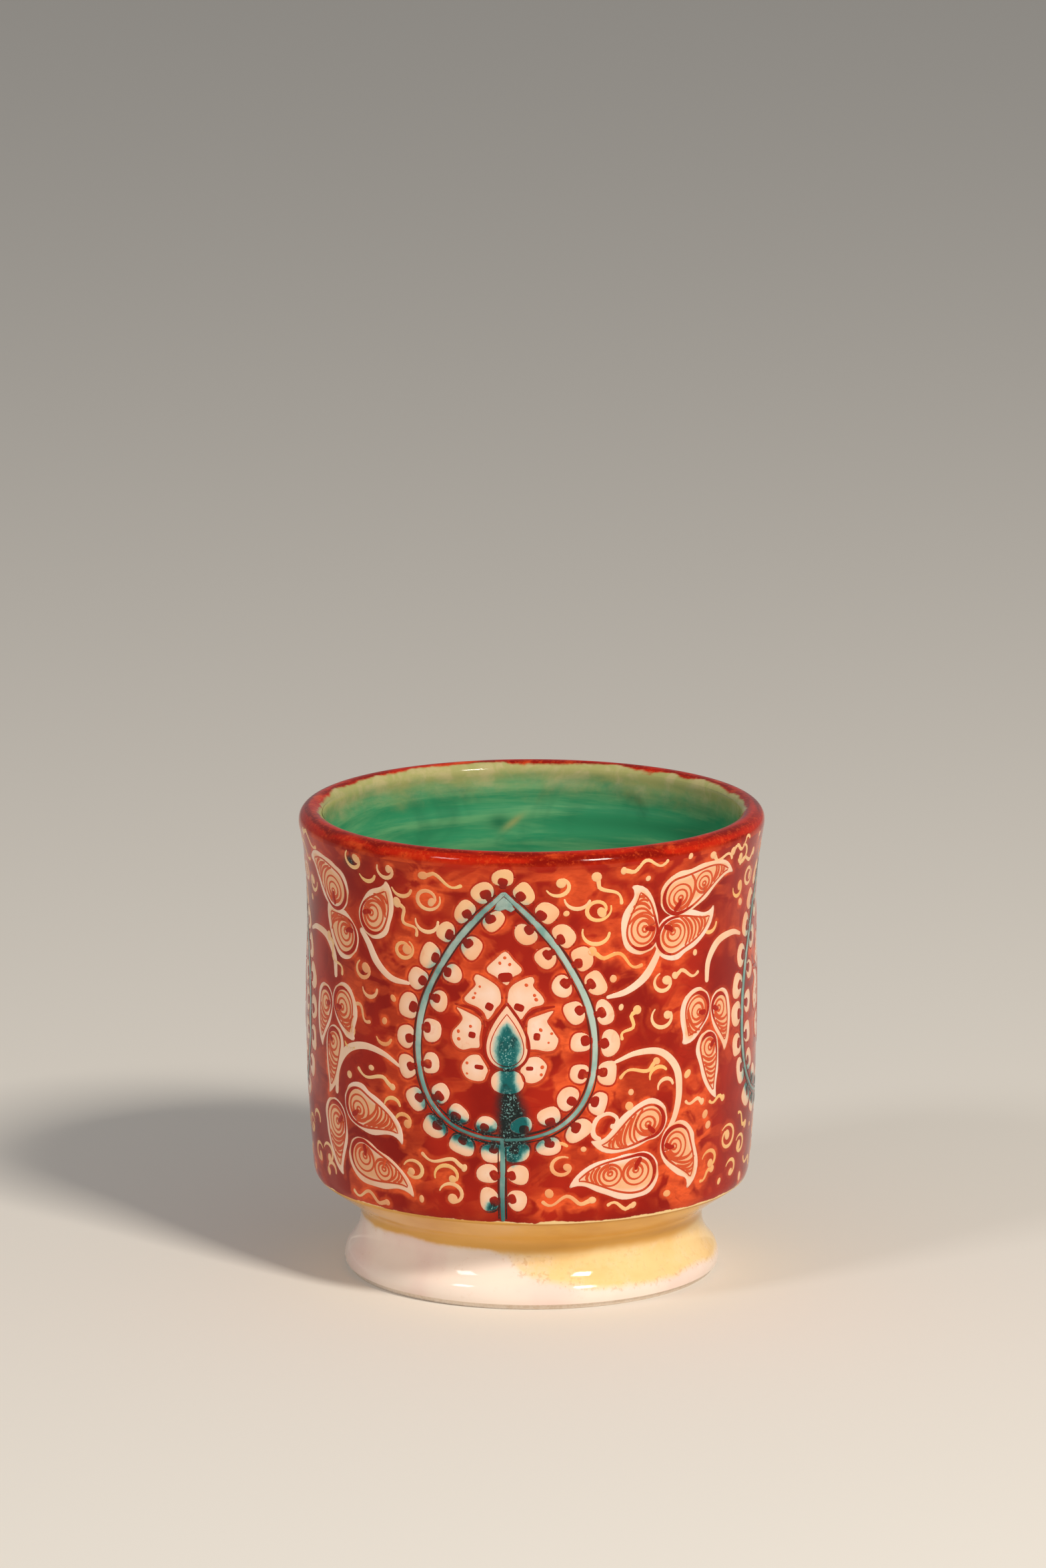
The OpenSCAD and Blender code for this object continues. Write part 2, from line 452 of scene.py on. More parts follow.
def onWall(x, z, lift):
    # from the flat drawing to the wall
    turn = x / girth
    r, outR, outZ = [np.interp(z, wallLine[:, 1], v) for v in (wallLine[:, 0], wallOut[:, 0], wallOut[:, 1])]
    rise = lift + throwing(turn, z)
    r = r + rise * outR
    return np.column_stack([r * np.sin(turn), -r * np.cos(turn), z + rise * outZ]) * mm


def noTint(x, z):
    return np.zeros(len(x))


def sheetPiece(name, sheet, material, tintAt=noTint):
    at = np.concatenate(sheet["at"])
    x, z = at.T
    points = onWall(x, z, np.concatenate(sheet["lift"]))
    corners = np.concatenate(sheet["faces"])
    places = (at[corners] - at.min(0)) / max(np.ptp(at, axis=0))
    obj = newPiece(name, points, sheet["faces"], places)
    for key in ("edge", "tone", "blush"):
        pointValues(obj, key, np.concatenate(sheet[key]))
    pointValues(obj, "tint", tintAt(x, z))
    body = obj.modifiers.new("paintBody", "SOLIDIFY")
    body.thickness = strokeBody * mm
    body.offset = -1.0
    obj.data.materials.append(material)
    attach(obj, "root")


# Shader helpers

def srgb(r, g, b):
    def linear(c):
        c /= 255
        return c / 12.92 if c <= 0.04045 else ((c + 0.055) / 1.055) ** 2.4
    return (linear(r), linear(g), linear(b), 1.0)


def fill(tree, node, inputs):
    for key, given in inputs.items():
        if isinstance(given, bpy.types.NodeSocket):
            tree.links.new(given, node.inputs[key])
        else:
            node.inputs[key].default_value = given
    return node


def put(tree, kind, inputs, **settings):
    node = tree.nodes.new("ShaderNode" + kind)
    for key, given in settings.items():
        setattr(node, key, given)
    return fill(tree, node, inputs)


def maths(tree, operation, a, b=0.0, c=0.0, clamp=False):
    return put(tree, "Math", {0: a, 1: b, 2: c}, operation=operation, use_clamp=clamp).outputs[0]


def times(tree, a, b, clamp=False):
    return maths(tree, "MULTIPLY", a, b, clamp=clamp)


def plus(tree, a, b):
    return maths(tree, "ADD", a, b)


def scaled(tree, a, factor, offset, clamp=False):
    return maths(tree, "MULTIPLY_ADD", a, factor, offset, clamp)


def mixed(tree, share, a, b):
    return put(tree, "Mix", {0: share, 6: a, 7: b}, data_type="RGBA").outputs[2]


def ramped(tree, given, low, high, strength=None):
    # from 0 at low to 1 at high, smooth between; strength scales it
    ramp = put(tree, "MapRange", {0: given, 1: low, 2: high}, interpolation_type="SMOOTHSTEP").outputs[0]
    return ramp if strength is None else times(tree, ramp, strength)


def objectPlace(tree):
    return put(tree, "TexCoord", {}).outputs["Object"]


def noise(tree, scale, detail=3.0, rough=0.5, distort=0.0, stretch=None):
    where = objectPlace(tree)
    if stretch:
        where = put(tree, "Mapping", {"Vector": where, "Scale": stretch}).outputs[0]
    inputs = {"Vector": where, "Scale": scale, "Detail": detail, "Roughness": rough, "Distortion": distort}
    return put(tree, "TexNoise", inputs).outputs[0]


def layered(tree, body, *coats):
    # each coat is a mask and the colour that it lays over the ones before
    for mask, colour in coats:
        body = mixed(tree, mask, body, colour)
    return body


def patches(tree, cloud, low, high, strength=None):
    # a cloud is the noise's scale, detail, roughness, distortion and stretch; the ramp cuts patches out of it
    return ramped(tree, noise(tree, *cloud), low, high, strength)


def frayed(tree, edge, amount, cloud):
    # an edge that noise moves to and fro
    return plus(tree, edge, scaled(tree, noise(tree, *cloud), amount, -amount / 2))


def turned(tree, scale, detail, sway=0.0):
    # noise that runs round the axis, as a turning tool or a banding brush leaves it
    x, y, z = put(tree, "SeparateXYZ", {0: objectPlace(tree)}).outputs
    away = maths(tree, "SQRT", scaled(tree, x, x, times(tree, y, y)))
    aside = times(tree, noise(tree, 22, 2), sway)
    where = put(tree, "CombineXYZ", {0: away, 1: aside, 2: z}).outputs[0]
    return put(tree, "TexNoise", {"Vector": where, "Scale": scale, "Detail": detail}).outputs[0]


def value(tree, name):
    return put(tree, "Attribute", {}, attribute_name=name).outputs["Fac"]


def newGroup(name, inputs, outputs):
    tree = bpy.data.node_groups.new(name, "ShaderNodeTree")
    for key, default in inputs.items():
        tree.interface.new_socket(key, in_out="INPUT", socket_type="NodeSocketFloat").default_value = default
    for key, kind in outputs.items():
        tree.interface.new_socket(key, in_out="OUTPUT", socket_type="NodeSocket" + kind)
    return tree, tree.nodes.new("NodeGroupInput").outputs, tree.nodes.new("NodeGroupOutput")


def useGroup(tree, group, inputs):
    return put(tree, "Group", inputs, node_tree=group).outputs


def newMaterial(name):
    material = bpy.data.materials.new(name)
    material.use_nodes = True
    tree = material.node_tree
    tree.nodes.clear()
    shader = tree.nodes.new("ShaderNodeBsdfPrincipled")
    output = tree.nodes.new("ShaderNodeOutputMaterial")
    tree.links.new(shader.outputs[0], output.inputs[0])
    return material, tree, shader


# Red wash that the painter laid round every motif

washColours = {"deep": srgb(142, 17, 4), "full": srgb(178, 36, 13), "thin": srgb(238, 94, 44)}


def makeBrushedRed(c):
    tree, given, made = newGroup("brushedRed", {"Wash": 0.0, "Thin": 0.5}, {"Color": "Color"})
    strokes = noise(tree, 130, 3, 0.5, 0.8, (1.0, 1.0, 1.4))
    lap = maths(tree, "ABSOLUTE", maths(tree, "SUBTRACT", strokes, 0.5))
    reach = scaled(tree, noise(tree, 105, 4, 0.6, 0.5), 2.2, -1.2)
    reach = scaled(tree, given["Thin"], 0.4, reach)
    rim = ramped(tree, plus(tree, given["Wash"], reach), 0.6, 1.15)
    patch = patches(tree, (62, 3, 0.55, 0.3), 0.44, 0.6)
    rim = times(tree, rim, scaled(tree, patch, 0.6, 0.3))
    lean = scaled(tree, given["Thin"], 0.5, times(tree, patch, 0.25))
    wide = times(tree, lean, ramped(tree, strokes, 0.44, 0.54))
    hairs = patches(tree, (420, 4, 0.65, 0.5, (1.0, 1.0, 2.6)), 0.3, 0.7)
    bare = scaled(tree, wide, 1.3, times(tree, rim, 0.8), clamp=True)
    bare = times(tree, bare, scaled(tree, hairs, 0.4, 0.65), clamp=True)
    colour = layered(
        tree, c["deep"],
        (patches(tree, (75, 3, 0.5, 0.4), 0.3, 0.7), c["full"]),
        (ramped(tree, lap, 0.025, 0.0, 0.35), c["deep"]),
        (bare, c["thin"]),
    )
    fill(tree, made, {"Color": colour})
    return tree


# Teal glaze that ran down over the painting: a ragged mask, and pale flecks that paint tiny highlights

flowColours = {
    "black": srgb(26, 34, 34),
    "teal": srgb(18, 98, 98),
    "paleTeal": srgb(118, 186, 178),
    # pale flecks, painted as tiny highlights of the glaze
    "glintFleck": srgb(150, 205, 200),
}


def makeTealFlow():
    tree, given, made = newGroup("tealFlow", {"Stain": 0.0}, {"Mask": "Float", "GlintFleck": "Float"})
    ragged = scaled(tree, noise(tree, 330, 5, 0.7, 0.6), 0.7, -0.35)
    near = plus(tree, given["Stain"], times(tree, ragged, ramped(tree, given["Stain"], 0.05, 0.6)))
    # pale flecks where the run is strong, painted as tiny highlights
    glintFleck = times(tree, patches(tree, (3000, 3, 0.6), 0.53, 0.66), ramped(tree, near, 0.55, 1.0))
    glintFleck = times(tree, glintFleck, patches(tree, (260, 2), 0.34, 0.54))
    fill(tree, made, {"Mask": ramped(tree, near, 0.08, 0.9), "GlintFleck": glintFleck})
    return tree


# Gloss of the fired glaze: long ripples, orange peel and duller patches

def makeGlazeSkin():
    outputs = {"Height": "Float", "Roughness": "Float"}
    tree, given, made = newGroup("glazeSkin", {"Ripple": 1.0, "Gloss": 0.1}, outputs)
    swell = times(tree, noise(tree, 120, 2), 0.7)
    peel = times(tree, noise(tree, 900, 2), 0.12)
    height = times(tree, plus(tree, swell, peel), given["Ripple"])
    dull = scaled(tree, patches(tree, (300, 5, 0.65), 0.45, 0.8), 0.12, given["Gloss"])
    fill(tree, made, {"Height": height, "Roughness": dull})
    return tree


brushedRed = makeBrushedRed(washColours)
tealFlow = makeTealFlow()
glazeSkin = makeGlazeSkin()
glazeSettings = {  # ripple, roughness and shine of the glaze over each finish
    "painting": (1.0, 0.1, 0.16),
    "lip": (0.8, 0.07, 0.15),
    "inside": (1.2, 0.08, 0.25),
    "foot": (1.0, 0.06, 0.25),
}
glazeBump = (0.35, 0.04)  # strength, and depth in millimetres
clayBump = (0.5, 0.12)


def roughen(tree, shader, height, bump):
    strength, deep = bump
    node = put(tree, "Bump", {"Height": height, "Strength": strength, "Distance": deep * mm})
    fill(tree, shader, {"Normal": node.outputs[0]})


def glaze(tree, shader, colour, over="painting"):
    ripple, gloss, shine = glazeSettings[over]
    skin = useGroup(tree, glazeSkin, {"Ripple": ripple, "Gloss": gloss})
    roughen(tree, shader, skin["Height"], glazeBump)
    fill(tree, shader, {"Base Color": colour, "Roughness": skin["Roughness"], "Specular IOR Level": shine})


def flowOf(tree, attribute):
    return useGroup(tree, tealFlow, {"Stain": value(tree, attribute)})


def overrun(tree, body, attribute):
    # dark paint that the teal ran over
    flow = flowOf(tree, attribute)
    # painted highlights: pale flecks over the run
    glintFlecks = times(tree, flow["GlintFleck"], 0.7)
    return layered(tree, body, (flow["Mask"], flowColours["black"]), (glintFlecks, flowColours["glintFleck"]))


def redWash(tree, inputs):
    return useGroup(tree, brushedRed, inputs)["Color"]


def makeRedPaint(under):
    material, tree, shader = newMaterial("redPaint")
    red = redWash(tree, {"Wash": value(tree, "wash"), "Thin": value(tree, "thin")})
    hem = frayed(tree, value(tree, "hem"), 1.6, (170, 4, 0.6))
    glaze(tree, shader, mixed(tree, ramped(tree, hem, 0.62, 0.78), overrun(tree, red, "stain"), under))
    return material


creamColours = {
    "cream": srgb(249, 216, 195),
    "yellow": srgb(246, 192, 110),
    "blush": srgb(242, 184, 138),
    "thin": srgb(232, 134, 82),
}


def makeCreamPaint(c):
    material, tree, shader = newMaterial("creamPaint")
    tone = value(tree, "tone")
    faint = times(tree, patches(tree, (62, 2), 0.46, 0.66), tone)
    flow = flowOf(tree, "tint")
    murk = patches(tree, (420, 4, 0.6, 0.5), 0.42, 0.66, 0.6)
    teal = layered(
        tree, flowColours["paleTeal"],
        (ramped(tree, flow["Mask"], 0.35, 0.95), flowColours["teal"]),
        (times(tree, murk, ramped(tree, flow["Mask"], 0.5, 1.0)), flowColours["black"]),
    )
    ragged = plus(tree, value(tree, "edge"), times(tree, noise(tree, 1500, 2), 0.5))
    glaze(tree, shader, layered(
        tree, c["cream"],
        (tone, c["yellow"]),
        (value(tree, "blush"), c["blush"]),
        (patches(tree, (150, 3), 0.45, 0.7, 0.4), c["blush"]),
        (patches(tree, (420, 4, 0.6, 0.8), 0.55, 0.82, 0.4), c["thin"]),
        (times(tree, faint, 0.75, clamp=True), c["thin"]),
        (ramped(tree, flow["Mask"], 0.0, 0.75), teal),
        # pale flecks of the run, painted as tiny highlights
        (times(tree, flow["GlintFleck"], 0.8), flowColours["glintFleck"]),
        (ramped(tree, ragged, 0.5, 1.2), redWash(tree, {"Wash": 0.9})),
    ))
    return material


markColours = {"red": srgb(172, 34, 16), "thin": srgb(230, 100, 54), "dark": srgb(84, 26, 18)}


def makeMarkPaint(c):
    material, tree, shader = newMaterial("markPaint")
    tone = value(tree, "tone")  # below 0 it thins the paint, above 0 it darkens it
    body = layered(
        tree, c["red"],
        (patches(tree, (500, 3, 0.6), 0.55, 0.85), c["thin"]),
        (times(tree, tone, -1.0, clamp=True), c["thin"]),
        (times(tree, tone, 1.0, clamp=True), c["dark"]),
        (times(tree, value(tree, "edge"), 0.35), c["thin"]),
    )
    glaze(tree, shader, overrun(tree, body, "tint"))
    return material


tealColours = {"pale": srgb(180, 198, 186), "full": srgb(126, 166, 158), "dark": srgb(78, 44, 36)}


def makeTealPaint(c):
    material, tree, shader = newMaterial("tealPaint")
    glaze(tree, shader, layered(
        tree, c["pale"],
        (patches(tree, (160, 3, 0.6), 0.38, 0.62), c["full"]),
        (patches(tree, (900, 3, 0.6), 0.62, 0.8, 0.35), c["dark"]),
        (times(tree, flowOf(tree, "tint")["Mask"], 0.8), flowColours["teal"]),
        (ramped(tree, value(tree, "edge"), 0.5, 1.1), c["dark"]),
    ))
    return material


# Green glaze of the inside, which thins to tan towards the lip

greenColours = {
    "light": srgb(104, 170, 118),
    "full": srgb(56, 147, 102),
    "deep": srgb(42, 112, 77),
    "tan": srgb(172, 170, 108),
    "pale": srgb(192, 180, 128),
}


def makeGreenWash(c):
    tree, given, made = newGroup("greenWash", {"High": 0.0}, {"Color": "Color"})
    tan = mixed(tree, patches(tree, (230, 4, 0.6, 0.5), 0.42, 0.66), c["tan"], c["pale"])
    high = frayed(tree, given["High"], 0.9, (110, 5, 0.65, 0.3, (1.0, 1.0, 2.0)))
    colour = layered(
        tree, c["full"],
        (patches(tree, (60, 5, 0.6, 0.4, (0.5, 0.5, 5.0)), 0.4, 0.64), c["light"]),
        (patches(tree, (45, 4, 0.6, 0.8), 0.52, 0.8), c["deep"]),
        (ramped(tree, high, 0.1, 0.95), tan),
    )
    fill(tree, made, {"Color": colour})
    return tree


greenWash = makeGreenWash(greenColours)


def greenOf(tree):
    return useGroup(tree, greenWash, {"High": value(tree, "high")})["Color"]


def makeGreenGlaze(c):
    material, tree, shader = newMaterial("greenGlaze")
    smudge = times(tree, value(tree, "smudge"), 0.8)
    streak = times(tree, value(tree, "streak"), 0.75)
    glaze(tree, shader, layered(tree, greenOf(tree), (smudge, c["deep"]), (streak, c["tan"])), "inside")
    return material


rimColours = {"deep": srgb(132, 16, 4), "full": srgb(190, 34, 8), "thin": srgb(228, 84, 34)}


def makeRimPaint(c):
    material, tree, shader = newMaterial("rimPaint")
    bare = patches(tree, (120, 4, 0.6, 0.5), 0.5, 0.7, 0.8)
    bare = times(tree, bare, ramped(tree, turned(tree, 900, 3, 0.03), 0.4, 0.62))
    grit = patches(tree, (1300, 4, 0.7), 0.5, 0.68, 0.4)
    pits = patches(tree, (1000, 4, 0.7, 0.4), 0.46, 0.34, 0.5)
    low = frayed(tree, value(tree, "low"), 0.8, (200, 4, 0.6))
    worn = frayed(tree, value(tree, "inner"), 1.4, (115, 4, 0.6))  # the inner edge shows the green
    glaze(tree, shader, layered(
        tree, c["deep"],
        (ramped(tree, turned(tree, 520, 3, 0.02), 0.36, 0.6), c["full"]),
        (bare, c["thin"]),
        (grit, c["thin"]),
        (pits, c["deep"]),
        (ramped(tree, low, 0.1, 0.9), redWash(tree, {"Wash": 0.2})),
        (ramped(tree, worn, 0.55, 0.85), greenOf(tree)),
    ), "lip")
    return material


# Honey glaze over pale slip, deepest where it pooled in the neck; its deepening towards the top of the neck
# is also painted shade under the overhanging wall

honeyColours = {
    "honey": srgb(236, 180, 92),
    # deep honey: pooled glaze, painted shade high on the neck, and the brown specks
    "deep": srgb(204, 142, 64),
    "pale": srgb(253, 220, 158),
    "white": srgb(253, 236, 222),
    "pink": srgb(247, 221, 210),
}


def makeHoneyWash(c):
    tree, given, made = newGroup("honeyWash", {"Honey": 0.0, "PoolShade": 0.0}, {"Color": "Color"})
    slip = mixed(tree, patches(tree, (60, 3), 0.4, 0.65), c["white"], c["pink"])
    ragged = frayed(tree, given["Honey"], 0.9, (240, 5, 0.7))
    # the deeper honey stands both for glaze pooled in the neck and for painted shade under the overhanging
    # wall
    thick = frayed(tree, given["PoolShade"], 0.8, (70, 3, 0.55, 0.3, (1.0, 1.0, 2.0)))
    amber = layered(
        tree, c["pale"],
        (ramped(tree, thick, -0.1, 0.55), c["honey"]),
        (ramped(tree, thick, 0.5, 1.1), c["deep"]),
    )
    # brown specks where the honey thins out
    fringe = times(tree, ramped(tree, ragged, 0.0, 0.3), ramped(tree, ragged, 0.95, 0.55))
    fringe = times(tree, fringe, ramped(tree, given["PoolShade"], 0.2, 0.04))
    specks = times(tree, times(tree, patches(tree, (1200, 3, 0.6), 0.52, 0.66), fringe), 0.3)
    fill(tree, made, {
        "Color": layered(tree, slip, (ramped(tree, ragged, 0.15, 0.85), amber), (specks, c["deep"]))})
    return tree


honeyWash = makeHoneyWash(honeyColours)


def makeHoneyGlaze(name):
    material, tree, shader = newMaterial(name)
    wash = useGroup(tree, honeyWash, {"Honey": value(tree, "honey"), "PoolShade": value(tree, "poolShade")})
    glaze(tree, shader, wash["Color"], "foot")
    return material


# Bare clay: grog specks and the lines of the turning tool

clayColours = {  # node, then material, its light and dark, and how strong the turning lines are
    "cup_body": ("cupClay", srgb(216, 190, 158), srgb(186, 152, 116), 1.0),
    "foot_ring": ("footClay", srgb(250, 236, 221), srgb(232, 210, 186), 1.0),
    "luting_slip": ("jointSlip", srgb(226, 204, 178), srgb(198, 168, 136), 0.2),
    "white_slip": ("whiteSlip", srgb(246, 234, 214), srgb(230, 210, 182), 0.2),
}
clayRough = 0.75


def makeClayGrain():
    tree, given, made = newGroup("clayGrain", {"Lines": 1.0}, {"Shade": "Float", "Height": "Float"})
    grain = noise(tree, 1400, 4, 0.7)
    lines = turned(tree, 800, 2)
    clouds = scaled(tree, lines, 0.5, times(tree, noise(tree, 60, 3), 0.5))
    shade = ramped(tree, plus(tree, grain, clouds), 0.75, 1.3)
    fill(tree, made, {"Shade": shade, "Height": plus(tree, grain, times(tree, lines, given["Lines"]))})
    return tree


clayGrain = makeClayGrain()


def makeClay(name, light, dark, lines):
    material, tree, shader = newMaterial(name)
    grain = useGroup(tree, clayGrain, {"Lines": lines})
    roughen(tree, shader, grain["Height"], clayBump)
    fill(tree, shader, {"Base Color": mixed(tree, grain["Shade"], light, dark), "Roughness": clayRough})
    return material


redPaint = makeRedPaint(honeyColours["pale"])
creamPaint = makeCreamPaint(creamColours)
markPaint = makeMarkPaint(markColours)
tealPaint = makeTealPaint(tealColours)
rimPaint = makeRimPaint(rimColours)
greenGlaze = makeGreenGlaze(greenColours)
honeyGlaze = makeHoneyGlaze("honeyGlaze")
clearGlaze = makeHoneyGlaze("clearGlaze")
for nodeName, clay in clayColours.items():
    nodes[nodeName].data.materials.clear()
    nodes[nodeName].data.materials.append(makeClay(*clay))
print("materials made:", len(bpy.data.materials))


# Medallion: a pointed drop edged with petals, a palmette within it and a run of teal glaze.
# Its places are u from the medallion's axis and v up.

medallionSettings = {
    # right edge from the tip down, the fill under the tip, and the width of the line
    "side": [(0, 79.6), (4.9, 74.8), (9.0, 70.0), (12.2, 65.0), (14.7, 60.0), (16.1, 55.0), (16.5, 50.0),
             (15.9, 44.6), (13.7, 39.6), (9.6, 35.9), (4.5, 34.1), (0, 33.7)],
    "tipFill": [(0, 79.0), (1.3, 77.8), (2.1, 76.7), (1.3, 76.1), (0.3, 76.6), (-0.9, 76.2),
                (-1.9, 76.5), (-1.3, 77.8)],
    "lineWide": [0.8, 1.0, 1.2, 1.1, 1.2, 1.3, 1.2, 1.1, 0.9, 0.75, 0.7, 0.7],
    "lineStart": (0.5, 79.2),  # each side starts a little past the axis
    "lineGap": 0.75,  # from the middle of the line to a petal
    "shadowGap": 0.78,  # and to the dark strokes along both its sides
    # petals outside and inside the line; first and last count from its ends, lean parts the two sides
    "petalRows": [
        {"way": 1, "count": 12, "first": 2.7, "lean": 0.0, "last": 2.2, "wobble": 0.2,
         "wide": 4.6, "widening": 0.035, "tall": 3.75, "tones": [0.05, 0.15, 0.6]},
        {"way": -1, "count": 9, "first": 6.7, "lean": 1.5, "last": 3.6, "wobble": 0.25,
         "wide": 4.3, "widening": 0.0, "tall": 3.65, "tones": [0.0, 0.08, 0.45]},
    ],
    "toneHeights": [42, 60, 76],
    "crown": ((-0.1, 80.9), 4.4, 3.5),  # petal on the tip: base, width and height
    "stalk": [(-0.5, 33.8), (-0.35, 29), (-0.5, 24), (-0.4, 18.1)],
    "stalkWide": [0.8, 1.1, 1.0, 0.8],
    "stalkShadow": (-0.45, 0.7, [33, 29, 24, 18.6]),  # middle, gap and heights of its dark strokes
    "beads": [(-1.0, 27.2, -1), (0.4, 27.2, 1), (-1.0, 22.3, -1), (0.4, 22.3, 1)],  # base and way
    "beadSize": (4.4, 4.0),
}
edgePath = smoothPath(medallionSettings["side"])
edgeRun = lengthsAlong(edgePath)
edgeWay = unitWays(edgePath)


def medallionEdge(d):
    # point and outward way on the right side, d along it from the tip
    u, v, wayU, wayV = [np.interp(d, edgeRun, c) for c in (*edgePath.T, *edgeWay.T)]
    return (u, v), (-wayV, wayU)


def edgeAway(u, v):
    # distance from either side of the line
    return np.hypot(np.abs(u)[:, None] - edgePath[:, 0], v[:, None] - edgePath[:, 1]).min(1)


petalSettings = {
    "mouthTone": 0.15,
    "contour": 0.24,  # how far the dark contour stands out
    "contourWide": [0.46, 0.34, 0.54, 0.4],
    "uneven": 0.045,
    "throatWide": [1.5, 1.3, 1.5],
}


def petal(cream, marks, base, out, wide, tall, rng, tone):
    # a rounded leaf with a dark mouth at its base
    s = petalSettings
    base, out = np.array(base), np.array(out)
    wide *= rng.uniform(0.88, 1.1)
    tall *= rng.uniform(0.9, 1.08)
    middle = base + out * tall / 2
    turn = math.atan2(out[1], out[0]) - math.pi / 2 + rng.uniform(-0.15, 0.15)
    outline = roundOutline(middle, wide, tall, turn, square=rng.uniform(0.74, 1.0))
    phi = fullTurn * np.arange(len(outline)) / len(outline)
    uneven = 1 + sum(s["uneven"] * np.sin(waves * phi + rng.uniform(0, 6)) for waves in (2, 3))
    outline = middle + (outline - middle) * uneven[:, None]
    blob(cream, outline, tone=tone)
    contour = middle + (outline - middle) * (1 + s["contour"] / wide)
    ringLine(marks, contour, s["contourWide"], "contour", -0.1)
    lean = np.array([-out[1], out[0]]) * rng.uniform(-0.4, 0.4)
    eye = base + out * rng.uniform(0.8, 1.3) + lean
    throat = [base - out * 0.45, base + out * 0.2 + lean / 2, eye]
    stroke(marks, throat, s["throatWide"], "marks", s["mouthTone"])
    mouthWide, mouthTall = rng.uniform(1.7, 2.2), rng.uniform(1.4, 1.8)
    mouth = roundOutline(eye, mouthWide, mouthTall, turn + rng.uniform(-0.5, 0.5), 0.75, count=14)
    blob(marks, mouth, "dash", s["mouthTone"])


tealRun = {  # height, middle and half width of the teal run
    "height": [27.5, 29.5, 32, 35, 37.5, 40, 42.5, 45, 47.5, 50, 52.5, 55, 57],
    "middle": [1.5, 1.6, 1.7, 1.7, 1.6, 1.3, 0.8, 0.7, 0.6, 0.6, 0.6, 0.5, 0.5],
    "half": [-1.5, 1.4, 2.9, 3.3, 3.3, 2.9, 2.1, 1.6, 1.8, 2.6, 2.3, 0.9, -1.5],
    "fade": 3.2,
    "base": 0.42,
}
tealBleed = {  # how the line's teal bled into the petals, by height and across, and the stalk's
    "gap": 1.0,
    "reach": 2.0,
    "byHeight": ([30, 37, 44, 54, 64, 78], [0.9, 0.8, 0.3, 0.3, 0.5, 0.45]),
    "across": ([-16, -6, 4, 12], [0.95, 1.0, 0.8, 0.45]),
    "stalk": ([18, 20, 23, 30, 31], [0.8, 1, 0.6, 0.2, 0]),
    "stalkPlace": (-0.4, 1.5),
    "blot": (-2.3, 20.6, 1.7, 1.9),  # on a bead: place and reach
    "strength": 0.9,
}


def puff(x, z, wide, tall):
    # soft round spot
    return np.exp(-((x / wide) ** 2) - (z / tall) ** 2)


def runAt(u, v):
    # how strongly the run colours what it flowed over
    middle = np.interp(v, tealRun["height"], tealRun["middle"])
    half = np.interp(v, tealRun["height"], tealRun["half"])
    return np.clip((half - np.abs(u - middle)) / tealRun["fade"] + tealRun["base"], 0, 1)


def tealAt(u, v):
    s = tealBleed
    bleed = puff(edgeAway(u, v) - s["gap"], 0, s["reach"], 1) * np.interp(v, *s["byHeight"])
    bleed = bleed * np.interp(u, *s["across"])
    middle, reach = s["stalkPlace"]
    stalk = s["strength"] * puff(u - middle, 0, reach, 1) * np.interp(v, *s["stalk"])
    blotU, blotV, wide, tall = s["blot"]
    blot = s["strength"] * puff(u - blotU, v - blotV, wide, tall)
    return np.maximum.reduce([runAt(u, v), bleed, stalk, blot])


palmette = {  # outlines of the right half
    "upper": [(0.5, 60.1), (0.9, 61.8), (2.2, 63.2), (4.9, 64.4), (5.6, 63.5), (5.4, 62.5), (6.8, 61.0),
              (7.5, 59.6), (6.8, 58.8), (5.0, 58.3), (3.9, 57.3), (3.1, 56.0), (2.2, 56.7), (1.2, 58.1),
              (0.6, 59.0)],
    "middle": [(3.9, 55.0), (4.4, 56.3), (5.9, 57.2), (8.9, 58.0), (7.8, 56.2), (8.4, 55.0), (9.5, 53.6),
               (9.9, 52.3), (9.1, 50.7), (7.6, 50.1), (5.9, 50.5), (4.4, 50.9), (4.2, 52.8)],
    "lower": [(2.7, 46.9), (3.9, 48.8), (4.7, 49.5), (6.2, 49.3), (7.6, 48.2), (7.9, 46.8), (7.0, 45.1),
              (5.4, 44.3), (3.8, 44.6), (3.2, 46.0)],
    "top": [(0.2, 68.9), (1.8, 67.3), (3.3, 65.7), (2.9, 64.7), (1.5, 63.9), (0.5, 62.4)],
    "ringWide": [0.5, 0.34, 0.55, 0.45],
    "topWide": [0.36],
    "topNotch": ((0.2, 64.0), 2.8, 1.9, 0.1, 0.7),  # place, size, turn and squareness
    "topSpecks": [(-0.8, 66.6), (1.0, 66.4), (0.1, 67.6)],
    "bottom": ((0.6, 44.6), 6.3, 4.7),
    "bottomWide": [0.4, 0.3, 0.45, 0.4],
    "calyx": [(9.2, 58.7), (6.0, 58.1), (4.3, 57.1), (3.6, 55.6), (3.4, 54.6)],
    "calyxWide": [0.35, 0.6, 0.7, 0.6, 0.4],
    "notches": [(2.7, 58.5, 2.0, 1.4), (5.9, 53.1, 1.5, 1.5), (4.6, 47.2, 1.8, 1.1)],
    "specks": [(4.3, 62.4), (5.4, 60.8), (5.6, 60.1), (6.4, 54.4), (8.4, 53.5), (8.1, 52.0), (6.8, 47.6),
               (6.6, 46.0)],
    "lineTone": -0.35,
    "darkTone": 0.15,
    "speckTone": -0.8,
}
# the palmette's middle, and how far its inner line stands in at the tip, the foot and the sides
drop = {"middle": 0.5, "tip": 59.2, "foot": 46.8, "wide": 8.0, "inset": (2.0, 0.7, 1.9)}


def dropOutline(middle, high, low, wide, count=30):
    phi = fullTurn * np.arange(count) / count
    x = middle + wide * 0.65 * np.sin(phi) * np.abs(np.sin(phi / 2))
    return np.column_stack([x, (high + low) / 2 + (high - low) / 2 * np.cos(phi)])


def closedOutline(points):
    return smoothPath(points, closed=True, per=3)[:-1]


